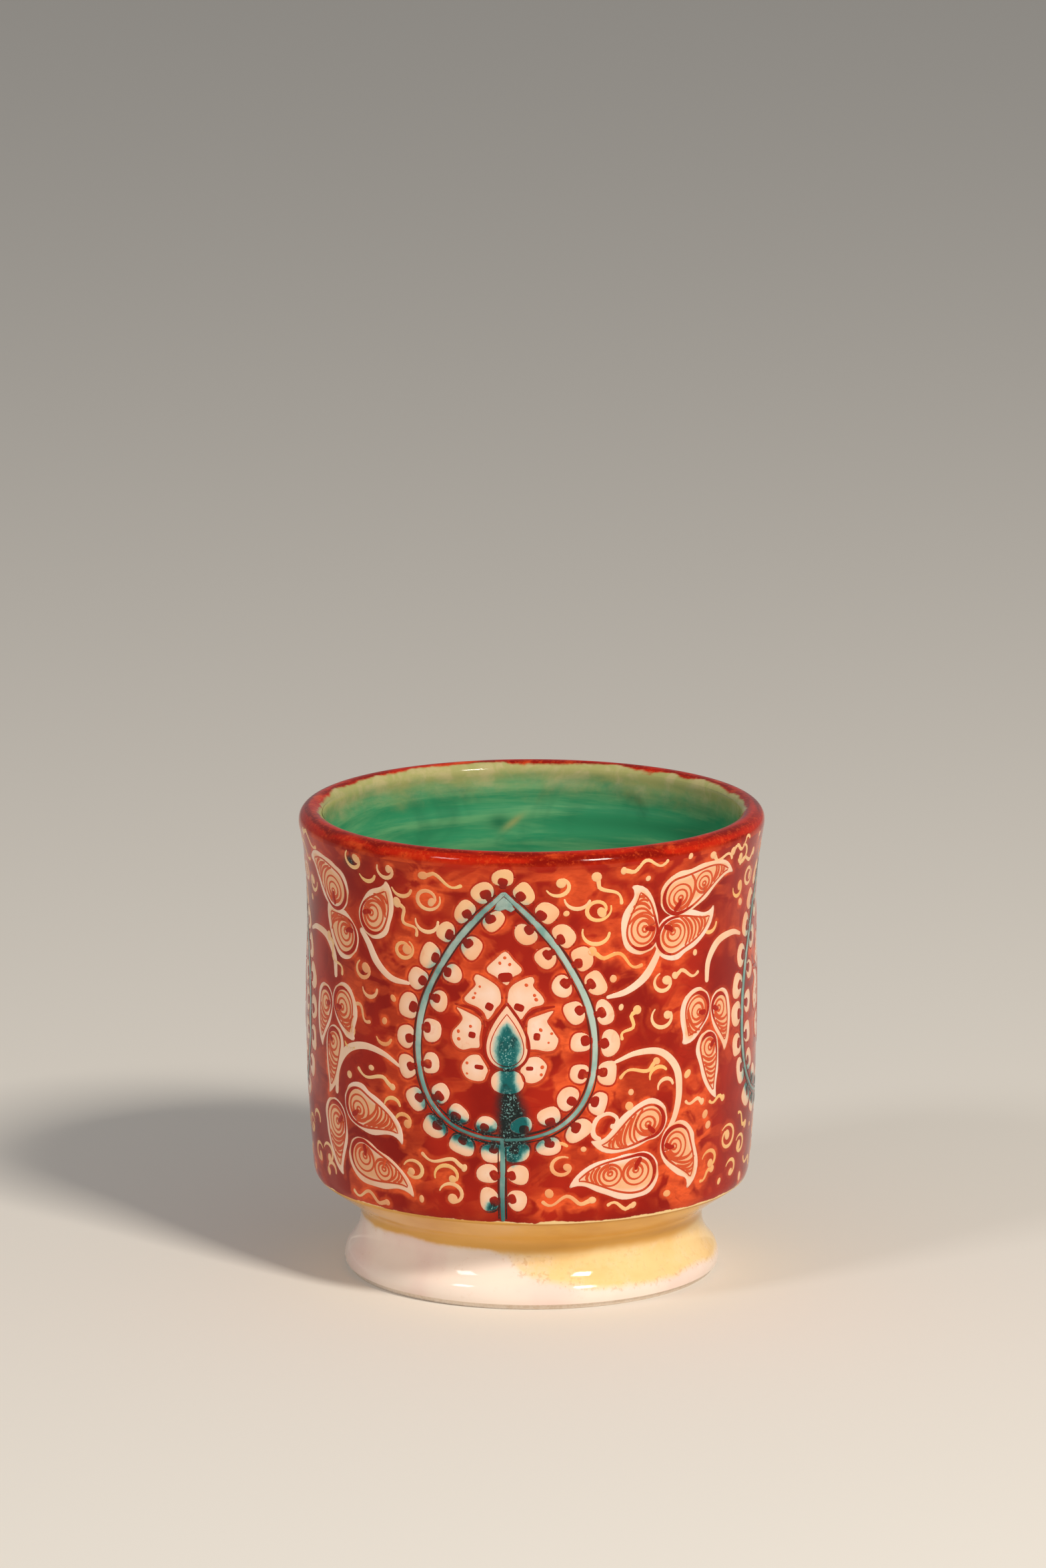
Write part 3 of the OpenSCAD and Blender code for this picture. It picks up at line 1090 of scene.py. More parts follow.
def paintMedallion(number, axis, squeeze, seed):
    s = medallionSettings
    p = palmette
    rng = random.Random(seed)
    cream, marks, lines = newSheet(), newSheet(), newSheet()
    length = edgeRun[-1]

    def at(u, v):
        return (axis + squeeze * u, v)

    def wobbled(u, v, reach):
        return u + rng.uniform(-reach, reach), v + rng.uniform(-reach, reach)

    def paintSide(side):
        def onEdge(d, off):
            (u, v), (outU, outV) = medallionEdge(d)
            return at(side * (u + off * outU), v + off * outV), np.array([side * outU, outV])

        def here(u, v):
            return at(side * u, v)

        startU, startV = s["lineStart"]
        path = [here(-startU, startV)] + [onEdge(d, 0)[0] for d in np.linspace(0.1, length, 40)]
        stroke(lines, path, [w * rng.uniform(0.85, 1.15) for w in s["lineWide"]], "line")
        for off in (-s["shadowGap"], s["shadowGap"]):
            where = np.linspace(1.2, length - 0.3, 26)
            dark = [onEdge(d, off + rng.uniform(-0.07, 0.07))[0] for d in where]
            stroke(marks, dark, [rng.uniform(0.16, 0.5) for _ in range(13)], "marks", 0.9)
        for row in s["petalRows"]:
            way = row["way"]
            first = row["first"] + row["lean"] * side
            run = length - row["last"] - first
            for k in range(row["count"]):
                d = first + run * k / (row["count"] - 1) + rng.uniform(-row["wobble"], row["wobble"])
                base, out = onEdge(d, way * (s["lineGap"] + rng.uniform(-0.05, 0.2)))
                tone = np.interp(base[1], s["toneHeights"], row["tones"]) + rng.uniform(-0.05, 0.1)
                wide = row["wide"] + row["widening"] * k
                petal(cream, marks, base, way * out, wide, row["tall"], rng, tone)
        for name in ("upper", "middle", "lower"):
            outline = closedOutline([here(*wobbled(u, v, 0.15)) for u, v in p[name]])
            blob(cream, outline)
            ringLine(marks, outline, p["ringWide"], tone=p["lineTone"])
        stroke(marks, [here(u, v) for u, v in p["calyx"]], p["calyxWide"], "dash", p["darkTone"])
        for u, v, wide, tall in p["notches"]:
            wide *= rng.uniform(0.75, 1.1)
            tall *= rng.uniform(0.75, 1.1)
            notch = roundOutline(here(u, v), wide, tall, side * rng.uniform(-0.5, 0.5), 0.65, count=14)
            blob(marks, notch, "marks", p["darkTone"])
        for u, v in p["specks"]:
            place = here(*wobbled(u, v, 0.3))
            spot(marks, place, rng.uniform(0.26, 0.42), rng, "marks", p["speckTone"])

    for side in (1, -1):
        paintSide(side)
    blob(lines, [at(u, v) for u, v in s["tipFill"]], "line")
    outline = closedOutline([at(u, v) for u, v in p["top"]] + [at(-u, v) for u, v in p["top"][-2:0:-1]])
    blob(cream, outline)
    ringLine(marks, outline, p["topWide"], tone=p["lineTone"])
    place, *shape = p["topNotch"]
    blob(marks, roundOutline(at(*place), *shape, count=16), "marks", p["darkTone"])
    for u, v in p["topSpecks"]:
        spot(marks, at(u, v), 0.36, rng, "marks", p["speckTone"])
    place, wide, tall = p["bottom"]
    outline = roundOutline(at(*place), wide * squeeze, tall, 0, 0.85)
    blob(cream, outline)
    ringLine(marks, outline, p["bottomWide"], tone=0.1)
    base, wide, tall = s["crown"]
    petal(cream, marks, at(*base), (0, 1), wide, tall, rng, 0.7)

    middle = at(drop["middle"], 0)[0]
    outline = dropOutline(middle, drop["tip"], drop["foot"], drop["wide"])
    blob(cream, outline)
    ringLine(marks, outline, [0.55], "hood", p["darkTone"])
    high, low, wide = drop["inset"]
    inner = dropOutline(middle, drop["tip"] - high, drop["foot"] + low, drop["wide"] - wide)
    ringLine(marks, inner, [0.26], tone=-0.3)

    for u, v, way in s["beads"]:
        petal(cream, marks, at(u, v), (way, 0.0), *s["beadSize"], rng, 0.15)
    stroke(lines, [at(u, v) for u, v in s["stalk"]], s["stalkWide"], "line")
    middle, gap, heights = s["stalkShadow"]
    for off in (-gap, gap):
        stroke(marks, [at(middle + off, v) for v in heights], [0.3, 0.4, 0.3], "marks", 0.9)

    def tintAt(x, z):
        return tealAt((x - axis) / squeeze, z)

    allCream.append(np.concatenate(cream["at"]))
    sheetPiece(f"medallion{number}_petals", cream, creamPaint, tintAt)
    sheetPiece(f"medallion{number}_outlines", marks, markPaint, tintAt)
    sheetPiece(f"medallion{number}_lines", lines, tealPaint, tintAt)


# Sprigs: a curved stem with paisley leaves, ringed and hatched inside

leafSettings = {
    "border": 1.25,  # pale border on a leaf's thick side
    "thinBorder": 0.65,
    "ringGap": 0.98,
    "hatchGap": 1.05,
    "line": 0.64,
    "longLeaf": 13,  # from this length on, a leaf has a second set of rings
    "contourWide": [0.62, 0.56, 0.5, 0.44, 0.4, 0.44, 0.6, 0.7, 0.62],
    "contourTone": -0.45,
    "hoodWide": [0.3, 0.55, 0.8, 0.95, 0.75, 0.35],
    "ringShares": [1.5, 1.1, 0.75, 0.7, 0.9, 1.5],  # of the line's width, once round
    "smallShares": [1.3, 0.9, 0.7, 0.8, 1.1],
    "ringTone": -0.65,
    "commaWide": [0.6, 1.15, 0.9],
    "offMiddle": 0.2,  # the eye sits this share of the leaf's half width off its middle
}


def leafSide(s, r, length):
    # half width of a leaf at s along it from the middle of its head
    q = np.clip(s / length, 0, 1)
    head = np.sqrt(np.maximum(r * r - np.minimum(s, 0) ** 2, 0))
    return np.where(s < 0, head, r * (1 - q) ** 1.08 * (1 + 1.08 * q))


def paintLeaf(cream, marks, head, tip, r, bend, thick, rng):
    s = leafSettings
    head, tip = np.array(head), np.array(tip)
    length = np.linalg.norm(tip - head)
    e = (tip - head) / length
    n = np.array([-e[1], e[0]])

    def spine(d, shift=0.0):
        # bows to one side and hooks back at the tip
        q = np.clip(d / length, 0, 1)
        bow = bend * (4.0 * q**2 + 2.5 * q**3) * (1 - q)
        return head + np.outer(d, e) + np.outer(bow + shift * (1 - q), n)

    front = np.linspace(0, length * 0.985, max(6, round(length / 0.7)))[1:]
    d = np.concatenate([-r * np.cos(np.radians(np.linspace(12, 90, 9))), front])
    uneven = 1 + 0.03 * np.sin(d * 1.1 + rng.uniform(0, 6))
    half = leafSide(d, r, length) * uneven
    depth = np.clip((half - 1.2) / 0.6, 0, 1)[:, None] * np.array([[0, 0, 0, 1, 1, 1, 1, 1, 0, 0, 0]])
    ribbon(cream, spine(d), half, "cream", rng.uniform(0.0, 0.25), blush=depth, columns=7)
    # dark line between the pale border and the inside
    inR = r - (s["border"] + s["thinBorder"]) / 2
    inLength = length - 2.2
    shift = -thick * (s["border"] - s["thinBorder"]) / 2
    d = np.concatenate([-inR * np.cos(np.radians(np.linspace(0, 90, 7))), np.linspace(0, inLength, 12)[1:]])
    half = leafSide(d, inR, inLength)
    line = spine(d, shift)
    loop = np.concatenate([line + half[:, None] * n, (line - half[:, None] * n)[-2:0:-1]])
    ringLine(marks, loop, s["contourWide"][::thick], tone=s["contourTone"])
    # a fuller, darker stroke over the head
    thinSide = line - thick * half[:, None] * n
    thickSide = line + thick * half[:, None] * n
    hood = np.concatenate([thinSide[9:0:-1], thickSide[:5]])
    stroke(marks, hood, s["hoodWide"], "hood")
    # rings about an eye that sits off the middle
    aside = -thick * n
    turn = math.atan2(aside[1], aside[0])
    middle = spine(np.array([0.1 * r]), shift)[0]
    ringWide = [s["line"] * k for k in s["ringShares"]]
    for radius in np.arange(0.5, inR - 0.3, s["ringGap"]):
        jitter = np.array([rng.uniform(-0.12, 0.12), rng.uniform(-0.12, 0.12)])
        centre = middle + aside * s["offMiddle"] * (inR - radius) + jitter
        ringed = roundOutline(centre, 1.9 * radius, 2.15 * radius, turn, count=14)
        ringLine(marks, ringed, ringWide, tone=s["ringTone"])
    # dark comma from the eye to the thin side
    eye = middle + aside * s["offMiddle"] * inR
    tail = eye + aside * 0.62 * inR - e * rng.uniform(0.25, 0.5) * inR
    stroke(marks, [eye, eye + aside * 0.3 * inR - e * 0.1 * inR, tail], s["commaWide"], "dash")
    # a second, smaller set of rings half way along a long leaf
    second = 0.4 * length if length > s["longLeaf"] else -length
    reach = leafSide(second, inR, inLength) - 0.2
    ringWide = [s["line"] * k for k in s["smallShares"]]
    for radius in np.arange(0.45, reach if second > 0 else 0, s["ringGap"] * 0.85):
        centre = spine(np.array([second]), shift)[0] + aside * s["offMiddle"] * (reach - radius)
        ringed = roundOutline(centre, 1.9 * radius, 2.1 * radius, turn, count=12)
        ringLine(marks, ringed, ringWide, tone=s["ringTone"])
    # stacked arcs towards the tip
    bow = np.array([-1.0, -0.5, 0.0, 0.5, 1.0]) * thick
    for d in np.arange(0.1 * r + inR * 0.55, inLength * 0.86, s["hatchGap"]):
        w = leafSide(np.array([d]), inR, inLength)[0] - 0.1
        if w < 0.45:
            break
        if abs(d + 0.4 * w - second) < reach:
            continue
        lean = rng.uniform(0.1, 0.45)
        along = d + w * (0.5 * (1 - bow**2) + lean * bow) + rng.uniform(-0.12, 0.12)
        path = spine(along, shift) + np.outer(w * bow, n)
        shares = [rng.uniform(0.6, 0.9), rng.uniform(0.9, 1.3), 0.8]
        stroke(marks, path, [s["line"] * k for k in shares], "marks", s["ringTone"])


stemWide = [0.8, 1.3, 1.55, 1.8, 1.6, 1.2]
tailWide = [1.1, 1.2, 1.1, 0.9, 0.9, 1.3]
# Each sprig's stem, then head, tip, radius, bend and thick side of its leaves.
# A tail is the tip of a leaf that runs on in a curl.
sprigs = {
    "upperRight": {
        "stem": [(18.6, 59.8), (22.5, 60.6), (26.2, 62.8), (28.6, 66.0), (29.6, 68.4)],
        "leaves": [((25.6, 71.2), (22.9, 80.4), 4.1, -2, 1), ((33.6, 77.4), (49.4, 78.6), 4.3, 2.3, 1),
                   ((32.6, 69.4), (43.4, 74.2), 4.3, -2, -1)],
    },
    "lowerRight": {
        "stem": [(20.0, 47.6), (24.6, 49.0), (29.6, 48.6), (33.2, 45.2), (34.0, 40.6), (33.2, 36.4),
                 (31.6, 33.4)],
        "leaves": [((27.4, 36.2), (15.4, 33.6), 4.0, 2.4, -1),
                   ((25.4, 26.0), (11.6, 24.2), 4.5, -1.9, 1), ((34.0, 30.9), (36.6, 21.2), 4.2, 2.2, 1)],
        "tail": [(17.8, 33.3), (16.5, 34.1), (16.2, 35.7), (17.2, 37.6), (19.2, 38.2), (20.8, 37.2),
                 (20.5, 35.8), (19.4, 35.8)],
    },
    "upperLeft": {
        "stem": [(-18.2, 61.4), (-22.5, 61.9), (-26.0, 64.4), (-28.2, 67.6), (-30.4, 70.0)],
        "leaves": [((-26.6, 72.6), (-23.2, 80.2), 4.1, -0.9, -1),
                   ((-38.0, 76.2), (-48.6, 79.6), 4.6, -1.6, -1),
                   ((-35.2, 67.6), (-40.8, 73.6), 4.3, 1.1, 1)],
    },
    "lowerLeft": {
        "stem": [(-20.2, 45.6), (-24.4, 47.6), (-29.4, 48.2), (-34.2, 46.5), (-37.3, 42.4), (-38.0, 37.4)],
        "leaves": [((-31.0, 36.8), (-20.2, 30.4), 4.3, 2.4, 1),
                   ((-39.0, 32.4), (-36.8, 21.9), 4.2, -1.2, -1),
                   ((-30.6, 26.6), (-18.0, 20.8), 4.2, 2, -1)],
    },
    "midLeft": {
        "stem": [(-16.9, 66.4), (-20.6, 67.4), (-25.6, 66.8), (-28.7, 63.8), (-29.4, 59.6)],
        "leaves": [((-32.2, 55.4), (-36.2, 49.2), 3.9, 0.9, -1),
                   ((-25.2, 54.6), (-24.0, 45.6), 3.3, 0.8, 1),
                   ((-29.2, 47.6), (-26.0, 37.2), 3.2, -0.9, -1)],
    },
    "midRight": {
        "stem": [(16.9, 66.0), (20.6, 67.0), (25.6, 66.4), (28.7, 63.4), (29.4, 59.2)],
        "leaves": [((32.2, 55.0), (36.0, 48.6), 3.9, -0.9, 1),
                   ((25.2, 54.2), (24.2, 45.0), 3.3, -0.8, -1), ((29.2, 47.2), (26.2, 36.8), 3.2, 0.9, 1)],
    },
}


def motifPlace(motif):
    # from a motif's own drawing to the sheet
    def at(p):
        return (motif["axis"] + motif["squeeze"] * p[0], p[1])
    return at


def motifScale(motif):
    return 0.4 + 0.6 * motif["squeeze"]


def paintSprigs(number, motif, seed):
    rng = random.Random(seed)
    cream, marks = newSheet(), newSheet()
    at = motifPlace(motif)
    for name in motif["sprigs"]:
        sprig = sprigs[name]
        stroke(cream, [at(p) for p in sprig["stem"]], stemWide, "stem", rng.uniform(0.05, 0.25))
        if "tail" in sprig:
            stroke(cream, [at(p) for p in sprig["tail"]], tailWide, "stem", 0.15)
        for head, tip, r, bend, thick in sprig["leaves"]:
            paintLeaf(cream, marks, at(head), at(tip), r * motifScale(motif), bend, thick, rng)
    allCream.append(np.concatenate(cream["at"]))
    sheetPiece(f"sprigs{number}_leaves", cream, creamPaint)
    sheetPiece(f"sprigs{number}_veins", marks, markPaint)


# Fillers: dots, waves, tadpoles and curls in the free ground

waveWide = [1.15, 0.95, 0.9, 0.8, 0.65, 1.0]
curlWide = [0.4, 0.8, 1.0, 0.9, 0.7]
eyedSweep = 210  # a curl that turns further than this ends in a dot
# Dots are places, waves and tadpoles have two ends, curls have a middle, radius, start and sweep in degrees.
fillers = {
    "right": {
        "dots": [(26.5, 81.3), (35.5, 84.3), (11.2, 75.8), (20.0, 63.2), (21.5, 57.8), (38.0, 65.8),
                 (23.5, 41.8), (23.2, 39.2), (36.0, 43.5), (41.0, 35.0), (42.0, 32.8), (14.5, 31.8),
                 (32.0, 21.5), (8.2, 23.6)],
        "waves": [((21.5, 83.3), (30.5, 84.5)), ((33.0, 62.3), (39.0, 62.3)),
                  ((28.8, 47.0), (21.2, 44.4)), ((40.0, 37.6), (35.5, 38.6)),
                  ((46.5, 37.0), (42.0, 37.4)), ((16.3, 22.0), (6.8, 22.2)),
                  ((24.6, 20.3), (19.2, 20.6)), ((44.0, 24.0), (40.3, 22.4))],
        "tadpoles": [((16.5, 82.5), (21.5, 76.8)), ((41.5, 83.5), (48.0, 81.5)),
                     ((16.0, 68.5), (26.0, 65.3)), ((24.7, 57.0), (21.8, 51.6))],
        "curls": [((9.7, 81.0), 2.3, 200, 230), ((13.4, 78.6), 2.6, 180, 170),
                  ((17.0, 76.2), 2.6, 20, -420), ((17.0, 72.0), 2.9, 160, 200),
                  ((30.4, 61.4), 2.2, 110, 290), ((30.2, 55.0), 2.6, 130, 260),
                  ((42.4, 70.6), 2.3, 170, 190), ((52.0, 81.6), 2.2, 100, -260),
                  ((29.5, 44.2), 2.2, 200, -170), ((31.0, 42.0), 1.9, 200, -200),
                  ((49.0, 29.0), 2.9, 140, -380), ((43.0, 26.0), 2.2, 170, -250),
                  ((10.6, 28.6), 2.3, 60, 300), ((10.0, 31.2), 2.4, 160, -120)],
    },
    "crown": {
        "dots": [(-9.5, 83.6), (9.6, 83.8), (-17.2, 72.4), (17.6, 72.0), (-9.0, 28.6), (9.4, 28.2),
                 (-14.0, 19.8), (14.6, 20.2), (-23.6, 21.0), (24.2, 21.6)],
        "waves": [((12.0, 81.6), (18.6, 79.4)), ((-12.4, 81.0), (-19.0, 79.6)),
                  ((-6.4, 20.6), (-12.6, 23.4)), ((6.8, 21.0), (13.0, 23.6))],
        "tadpoles": [((-22.6, 83.0), (-15.8, 84.2)), ((16.0, 84.0), (23.4, 82.6)),
                     ((-13.0, 29.6), (-17.4, 32.6))],
        "curls": [((-13.6, 76.8), 2.3, 20, -400), ((13.8, 76.4), 2.3, 160, 400),
                  ((-18.6, 75.4), 2.1, 170, 220), ((19.2, 75.2), 2.1, 10, -230),
                  ((-15.6, 26.4), 2.2, 150, -320), ((14.8, 28.4), 2.2, 20, 320),
                  ((-19.4, 22.6), 2.1, 160, -250), ((19.6, 24.2), 2.2, 30, 260),
                  ((19.4, 30.4), 2.0, 180, -200)],
    },
    "left": {
        "dots": [(-22.0, 58.2), (-33.5, 42.0), (-27.3, 44.4), (-16.5, 21.2), (-24.0, 53.7)],
        "waves": [((-22.2, 41.6), (-31.0, 44.0)), ((-7.6, 28.0), (-16.2, 30.2)),
                  ((-24.6, 19.3), (-34.0, 20.2))],
        "tadpoles": [((-15.0, 82.0), (-7.5, 80.8)), ((-21.0, 76.2), (-17.0, 70.2)),
                     ((-41.0, 66.5), (-36.0, 60.0)), ((-34.0, 56.8), (-27.4, 53.0))],
        "curls": [((-23.0, 82.0), 2.0, 150, 250), ((-19.6, 79.4), 2.4, 190, 160),
                  ((-31.0, 82.8), 2.2, 130, 260), ((-27.6, 81.0), 2.3, 200, 150),
                  ((-14.4, 77.6), 2.6, 20, -420), ((-14.5, 73.4), 2.6, 170, 200),
                  ((-19.7, 67.6), 2.2, 60, -400), ((-29.4, 62.4), 2.1, 120, 300),
                  ((-27.6, 59.2), 2.1, 180, 190), ((-24.0, 50.9), 2.0, 190, 160),
                  ((-33.4, 50.6), 2.0, 140, 240), ((-33.0, 48.4), 1.9, 190, 130),
                  ((-22.2, 38.0), 2.0, 180, -180), ((-19.8, 35.4), 1.9, 200, -220),
                  ((-18.0, 26.5), 2.3, 160, -320), ((-11.0, 26.2), 2.6, 200, -230),
                  ((-10.2, 22.8), 2.5, 170, -260), ((-43.0, 25.0), 2.3, 160, -240),
                  ((-41.6, 22.0), 1.9, 180, -200)],
    },
}


def waveStroke(sheet, start, end, headSize, rng, tone):
    start, end = np.array(start), np.array(end)
    length = np.linalg.norm(end - start)
    e = (end - start) / length
    n = np.array([-e[1], e[0]])
    t = np.linspace(0, 1, 13)
    waves = rng.choice([1.0, 1.5]) if length > 5 else 1.0
    high = rng.choice([-1, 1]) * min(0.9, 0.13 * length)
    sway = high * np.sin(fullTurn * waves * t) * np.clip(t * 4, 0, 1)
    stroke(sheet, start + np.outer(t * length, e) + np.outer(sway, n), waveWide, "stem", tone)
    spot(sheet, start, headSize, rng, tone=tone)


def curlStroke(sheet, middle, r, start, sweep, rng, tone):
    t = np.linspace(0, 1, 16)
    phi = np.radians(start + sweep * t)
    tight = r * (1 - 0.45 * t * min(1, abs(sweep) / 400))
    path = np.column_stack([middle[0] + tight * np.cos(phi), middle[1] + tight * np.sin(phi) * 0.86])
    stroke(sheet, path, curlWide, "stem", tone)
    if abs(sweep) > eyedSweep:
        inner = np.array(middle) + np.array([0.15, -0.1]) * r
        spot(sheet, (path[-1] + inner) / 2, rng.uniform(0.8, 1.1), rng, tone=tone)


def paintFillers(number, motif, seed):
    rng = random.Random(seed)
    sheet = newSheet()
    at = motifPlace(motif)
    for kinds in [fillers[name] for name in motif["fillers"]]:
        for p in kinds["dots"]:
            spot(sheet, at(p), rng.uniform(0.6, 0.95), rng, tone=rng.uniform(0.5, 0.9))
        for start, end in kinds["waves"]:
            waveStroke(sheet, at(start), at(end), rng.uniform(0.6, 0.85), rng, rng.uniform(0.5, 0.9))
        for start, end in kinds["tadpoles"]:
            waveStroke(sheet, at(start), at(end), rng.uniform(0.85, 1.05), rng, rng.uniform(0.6, 1.0))
        for middle, r, start, sweep in kinds["curls"]:
            curlStroke(sheet, at(middle), r * motifScale(motif), start, sweep, rng, rng.uniform(0.5, 1.0))
    allCream.append(np.concatenate(sheet["at"]))
    sheetPiece(f"fillers{number}", sheet, creamPaint)


# Four medallions round the cup; the back one is narrower and nearer to its neighbours

fullSet = {"sprigs": ["upperRight", "lowerRight", "upperLeft", "lowerLeft"], "fillers": ["right", "left"]}
sideSet = {"sprigs": ["midLeft", "midRight"], "fillers": ["crown"]}
motifs = [
    {"axis": -5.0, "squeeze": 1.0, **fullSet},
    {"axis": 65.5, "squeeze": 1.0, **sideSet},
    {"axis": 127.2, "squeeze": 0.89, **fullSet},
    {"axis": -72.5, "squeeze": 1.0, **sideSet},
]
for number, motif in enumerate(motifs, 1):
    paintMedallion(number, motif["axis"], motif["squeeze"], 10 + number)
    paintSprigs(number, motif, 20 + number)
    paintFillers(number, motif, 30 + number)
print("painting laid:", sum(len(a) for a in allCream), "points of slip")


# Coats of the thrown form

coatSettings = {
    "wall": {"turns": 640, "depth": 0.25},
    "lip": {"turns": 512, "depth": 0.25},
    "inside": {"turns": 384, "depth": 0.4},
    "neck": {"turns": 384, "depth": 0.35},
    "foot": {"turns": 384, "depth": 0.35},
}


def coat(name, part, line, shift, material, node):
    s = coatSettings[part]
    obj = latheSolid(name, line, s["depth"], s["turns"], shift)
    obj.data.materials.append(material)
    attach(obj, "root")
    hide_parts(node)
    return obj


# Wall: where the red thins round the strokes and in patches, and where teal ran over it

wallSettings = {
    "washReach": 1.4,  # of the thin red round a stroke
    "hem": 1.2,  # ragged lower edge of the red
    "smudge": (-37, 82.2, 2.2, 1.5, 0.8),  # a touch of teal: place, reach and strength
    "sidePatches": 12,  # a side medallion has only the patches this near its axis
}
thinPatches = [  # where the brush left the red thin: place from a medallion's axis, reach and strength
    (11, 81, 7, 4, 1.0), (-7, 82.5, 4, 3, 0.8), (-14, 80, 4, 4, 0.7), (2, 85, 6, 1.5, 0.8),
    (9, 54, 3.5, 7, 0.8), (7, 43.5, 6, 2.5, 0.8), (-7, 42, 4, 2, 0.6), (1, 72, 5, 3, 0.5),
    (17, 69, 3, 4, 0.7), (20.5, 75, 2.5, 5, 0.8), (31, 63, 6, 4, 0.8), (31, 55, 5, 5, 0.9),
    (18, 43, 4, 3, 0.8), (36, 27, 7, 9, 1.0), (38, 40, 4, 5, 0.8), (10, 21, 7, 2.5, 0.9),
    (22, 33, 5, 3, 0.7), (27, 83, 8, 2, 0.8), (40, 80, 8, 3, 0.7), (-21, 67, 5, 3, 0.8),
    (-27, 38, 5, 4, 0.6), (-14, 27, 6, 4, 0.6), (-32, 22, 6, 4, 0.6), (-31, 57, 5, 4, 0.5),
    (-36, 72, 5, 6, 0.4), (-35, 84, 6, 2, 0.5), (-9, 61, 4, 6, 0.6), (9, 63, 4, 5, 0.6),
    (-8, 47, 4, 4, 0.6), (0, 75.5, 4, 3, 0.7),
]


def shortWay(x):
    # the same place, within half the girth of the front
    half = math.pi * girth
    return (x + half) % (2 * half) - half


def strokeDistance(x, z):
    strokes = np.concatenate(allCream)
    tree = KDTree(len(strokes))
    for number, (strokeX, strokeZ) in enumerate(zip(shortWay(strokes[:, 0]), strokes[:, 1])):
        tree.insert((strokeX, strokeZ, 0), number)
    tree.balance()
    return np.array([tree.find((a, h, 0))[2] for a, h in zip(x, z)])


def paintWall(obj, s):
    turn, z, _ = cylinderPlaces(obj)
    x = turn * girth
    smudgeX, smudgeZ, wide, tall, strength = s["smudge"]
    stain = strength * puff(x - smudgeX, z - smudgeZ, wide, tall)
    thin = np.zeros(len(z))
    for motif in motifs:
        across = shortWay(x - motif["axis"]) / motif["squeeze"]
        stain = np.maximum(stain, runAt(across, z))
        for u, v, wide, tall, strength in thinPatches:
            if motif["sprigs"] == fullSet["sprigs"] or abs(u) < s["sidePatches"]:
                spread = ((across - u) / wide) ** 2 + ((z - v) / tall) ** 2
                thin = np.maximum(thin, strength * np.clip(1.5 - spread, 0, 1))
    pointValues(obj, "wash", np.clip(1.2 - strokeDistance(x, z) / s["washReach"], 0, 1))
    pointValues(obj, "thin", thin)
    pointValues(obj, "hem", np.clip((wallLow + s["hem"] - z) / s["hem"], 0, 1))
    pointValues(obj, "stain", stain)


wall = coat("painted_wall", "wall", wallLine, throwing, redPaint, "red_ground")
paintWall(wall, wallSettings)


# Lip and inside

# how far the green has thinned to tan, at depths below its edge and last at the top of the lip
tanSettings = {"below": [7.5, 2.6, 0.0], "share": [0, 0.5, 0.95, 1.3]}
lipSettings = {"inner": 2.0, "low": 1.6}  # how far the inner and the lower edge of the red fade
insideMark = {  # a slip of the glazing brush on the far wall
    "x": -3.5,
    "z": 75.6,
    "radius": 37.7,
    "streak": (2.2, 0.6),  # reach along and across its slant
    "slant": (0.8, 0.6),  # cosine and sine
    "smudge": (-2.7, 1.8, 1.5),  # shift, and reach across and up
}


def tanAt(z):
    heights = [insideTop - below for below in tanSettings["below"]] + [lipTop]
    return np.interp(z, heights, tanSettings["share"])


def paintLip(obj, s):
    _, z, radius = cylinderPlaces(obj)
    middle = (lipLine[0][0] + lipLine[-1][0]) / 2
    low = np.clip((wallHigh + s["low"] - z) / s["low"], 0, 1)
    pointValues(obj, "high", tanAt(z))
    pointValues(obj, "inner", np.clip((middle - radius) / s["inner"], 0, 1))
    pointValues(obj, "low", np.where(radius > middle, low, 0))


def paintInside(obj, s):
    turn, z, _ = cylinderPlaces(obj)
    x = np.sin(turn) * s["radius"] - s["x"]
    up = z - s["z"]
    back = np.cos(turn) < 0
    cosine, sine = s["slant"]
    shift, wide, tall = s["smudge"]
    pointValues(obj, "high", tanAt(z))
    pointValues(obj, "streak", back * puff(x * cosine + up * sine, up * cosine - x * sine, *s["streak"]))
    pointValues(obj, "smudge", back * puff(x - shift, up, wide, tall))


lip = coat("painted_lip", "lip", lipLine, throwing, rimPaint, "rim_band")
paintLip(lip, lipSettings)
inside = coat("green_inside", "inside", insideSkin, ribs, greenGlaze, "inside_glaze")
paintInside(inside, insideMark)


# Neck and foot

honeySettings = {
    # how low the honey glaze ran and how full it is there, by angle from the front in degrees
    "angle": [-180, -150, -14, -8, -3, 4, 16, 30, 70, 100, 130, 155, 180],
    "height": [10.4, 10.6, 10.3, 8.8, 6.0, 4.4, 3.7, 3.4, 3.2, 3.8, 6.4, 10.2, 10.4],
    "body": [1.0, 1.0, 0.5, 0.5, 0.55, 0.68, 0.8, 0.8, 0.8, 0.8, 0.8, 1.0, 1.0],
    "waves": [(0.25, 7, 0.6), (0.15, 13, 0.0)],  # of its lower edge
    "fade": 1.9,
    "neck": (9.4, 1.4),  # from this height on it is full again, and over this stretch
    "poolShade": ([3, 8, 9.6, 11, 13, 15, 18], [0.0, 0.02, 0.08, 0.54, 0.62, 0.7, 0.8]),  # depth by height; the deeper honey towards the top of the neck also paints the shade under the overhanging wall
}


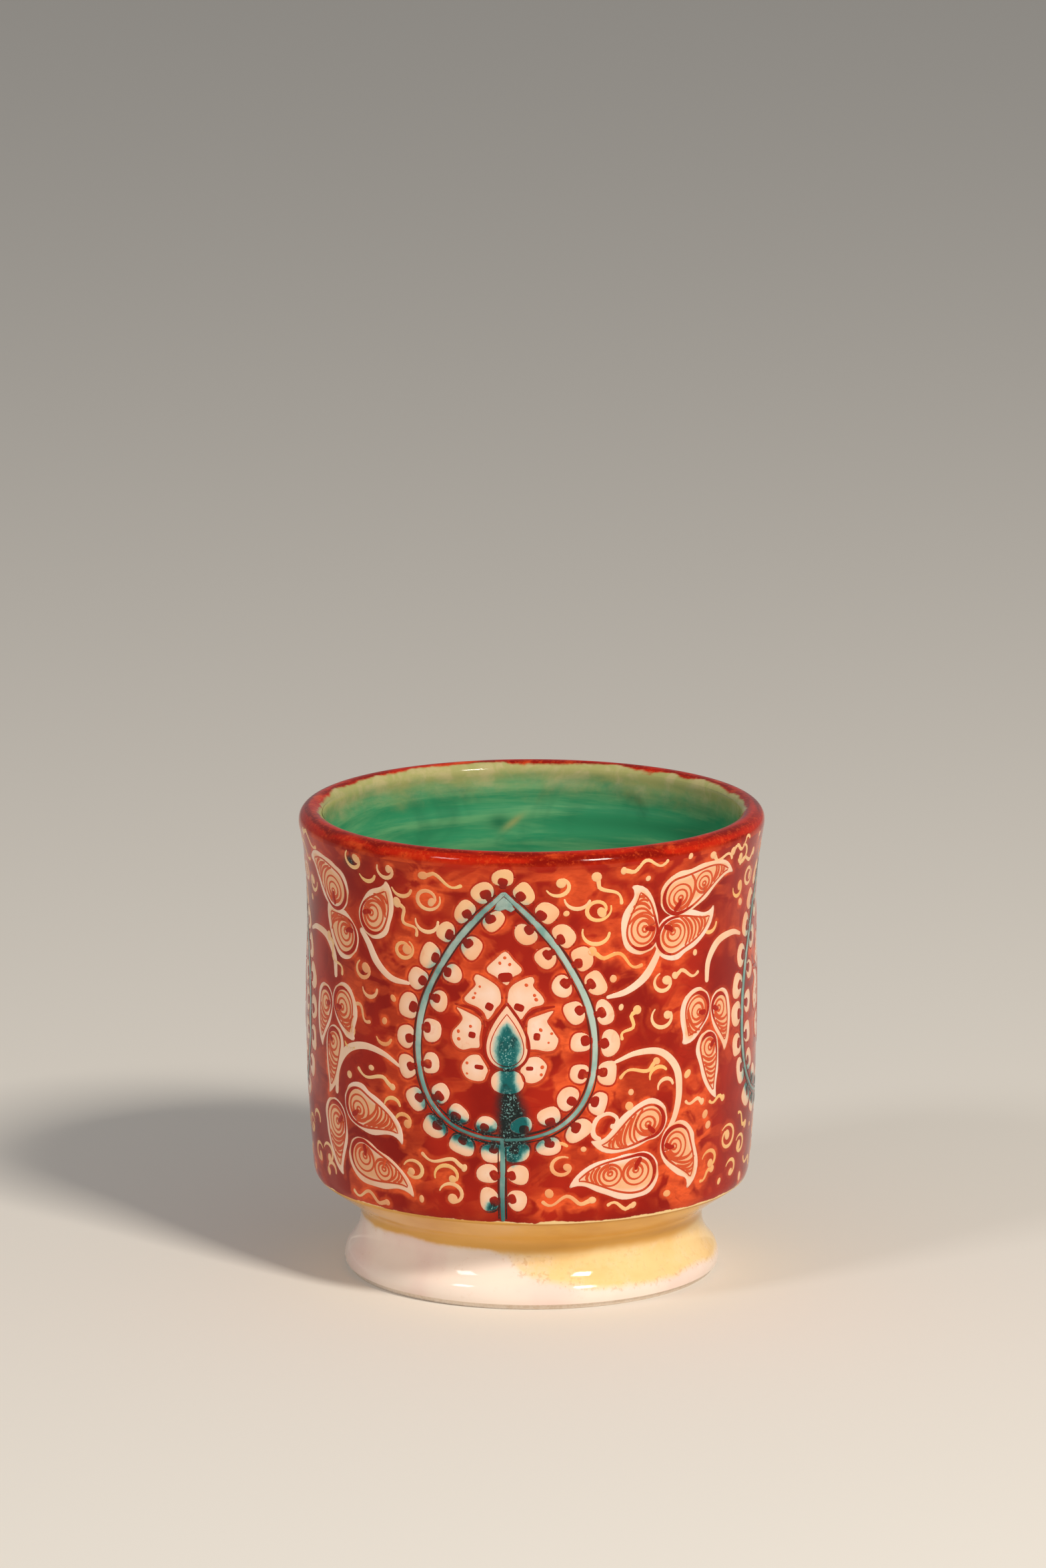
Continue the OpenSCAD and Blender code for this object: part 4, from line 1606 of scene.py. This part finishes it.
def paintHoney(obj, s):
    turn, z, _ = cylinderPlaces(obj)
    reach, body = [np.interp(np.degrees(turn), s["angle"], s[key]) for key in ("height", "body")]
    reach = reach + sum(high * np.sin(waves * turn + start) for high, waves, start in s["waves"])
    low, stretch = s["neck"]
    neckward = np.clip((z - low) / stretch, 0, 1)
    honey = np.clip((z - reach) / s["fade"] + 0.5, 0, 1) * (body + (1 - body) * neckward)
    pointValues(obj, "honey", honey)
    # pool depth, also painted shade: deeper towards the top of the neck
    pointValues(obj, "poolShade", np.interp(z, *s["poolShade"]))


neck = coat("honey_neck", "neck", neckLine, throwing, honeyGlaze, "neck_glaze")
foot = coat("glazed_foot", "foot", footLine, throwing, clearGlaze, "foot_glaze")
for obj in (neck, foot):
    paintHoney(obj, honeySettings)
print("coats turned")


# Floor and light

stageSettings = {
    "floor": {"Base Color": srgb(234, 229, 221), "Roughness": 0.9, "Specular IOR Level": 0.1},
    "reach": 9.0,  # m
    "drop": 0.00005,  # m, keeps the floor off the foot
    "sky": 0.26,
    "aim": (0, 0, 0.045),
    "lamps": [  # name, azimuth and elevation in degrees, distance, size, power, colour
        ("keyLamp", 37, 40, 1.5, 0.26, 17.6, (1.0, 0.93, 0.83)),
        ("fillLamp", -49, 38, 1.5, 0.26, 3.9, (1.0, 0.97, 0.96)),
    ],
}


def makeFloor(s):
    mesh = bpy.data.meshes.new("floor")
    r = s["reach"]
    corners = [(-r, -r, -s["drop"]), (r, -r, -s["drop"]), (r, r, -s["drop"]), (-r, r, -s["drop"])]
    mesh.from_pydata(corners, [], [(0, 1, 2, 3)])
    floor = bpy.data.objects.new("floor", mesh)
    scene.collection.objects.link(floor)
    material, tree, shader = newMaterial("paleFloor")
    fill(tree, shader, s["floor"])
    mesh.materials.append(material)


def makeLight(s):
    world = bpy.data.worlds.new("studio")
    world.use_nodes = True
    sky = world.node_tree.nodes["Background"]
    fill(world.node_tree, sky, {0: (1, 1, 1, 1), 1: s["sky"]})
    scene.world = world
    for name, azimuth, elevation, distance, size, power, colour in s["lamps"]:
        data = bpy.data.lights.new(name, "AREA")
        data.energy = power
        data.size = size
        data.color = colour
        lamp = bpy.data.objects.new(name, data)
        a, e = math.radians(azimuth), math.radians(elevation)
        way = Vector((math.sin(a) * math.cos(e), -math.cos(a) * math.cos(e), math.sin(e)))
        lamp.location = way * distance + Vector(s["aim"])
        lamp.rotation_euler = way.to_track_quat("Z", "Y").to_euler()
        scene.collection.objects.link(lamp)


makeFloor(stageSettings)
makeLight(stageSettings)
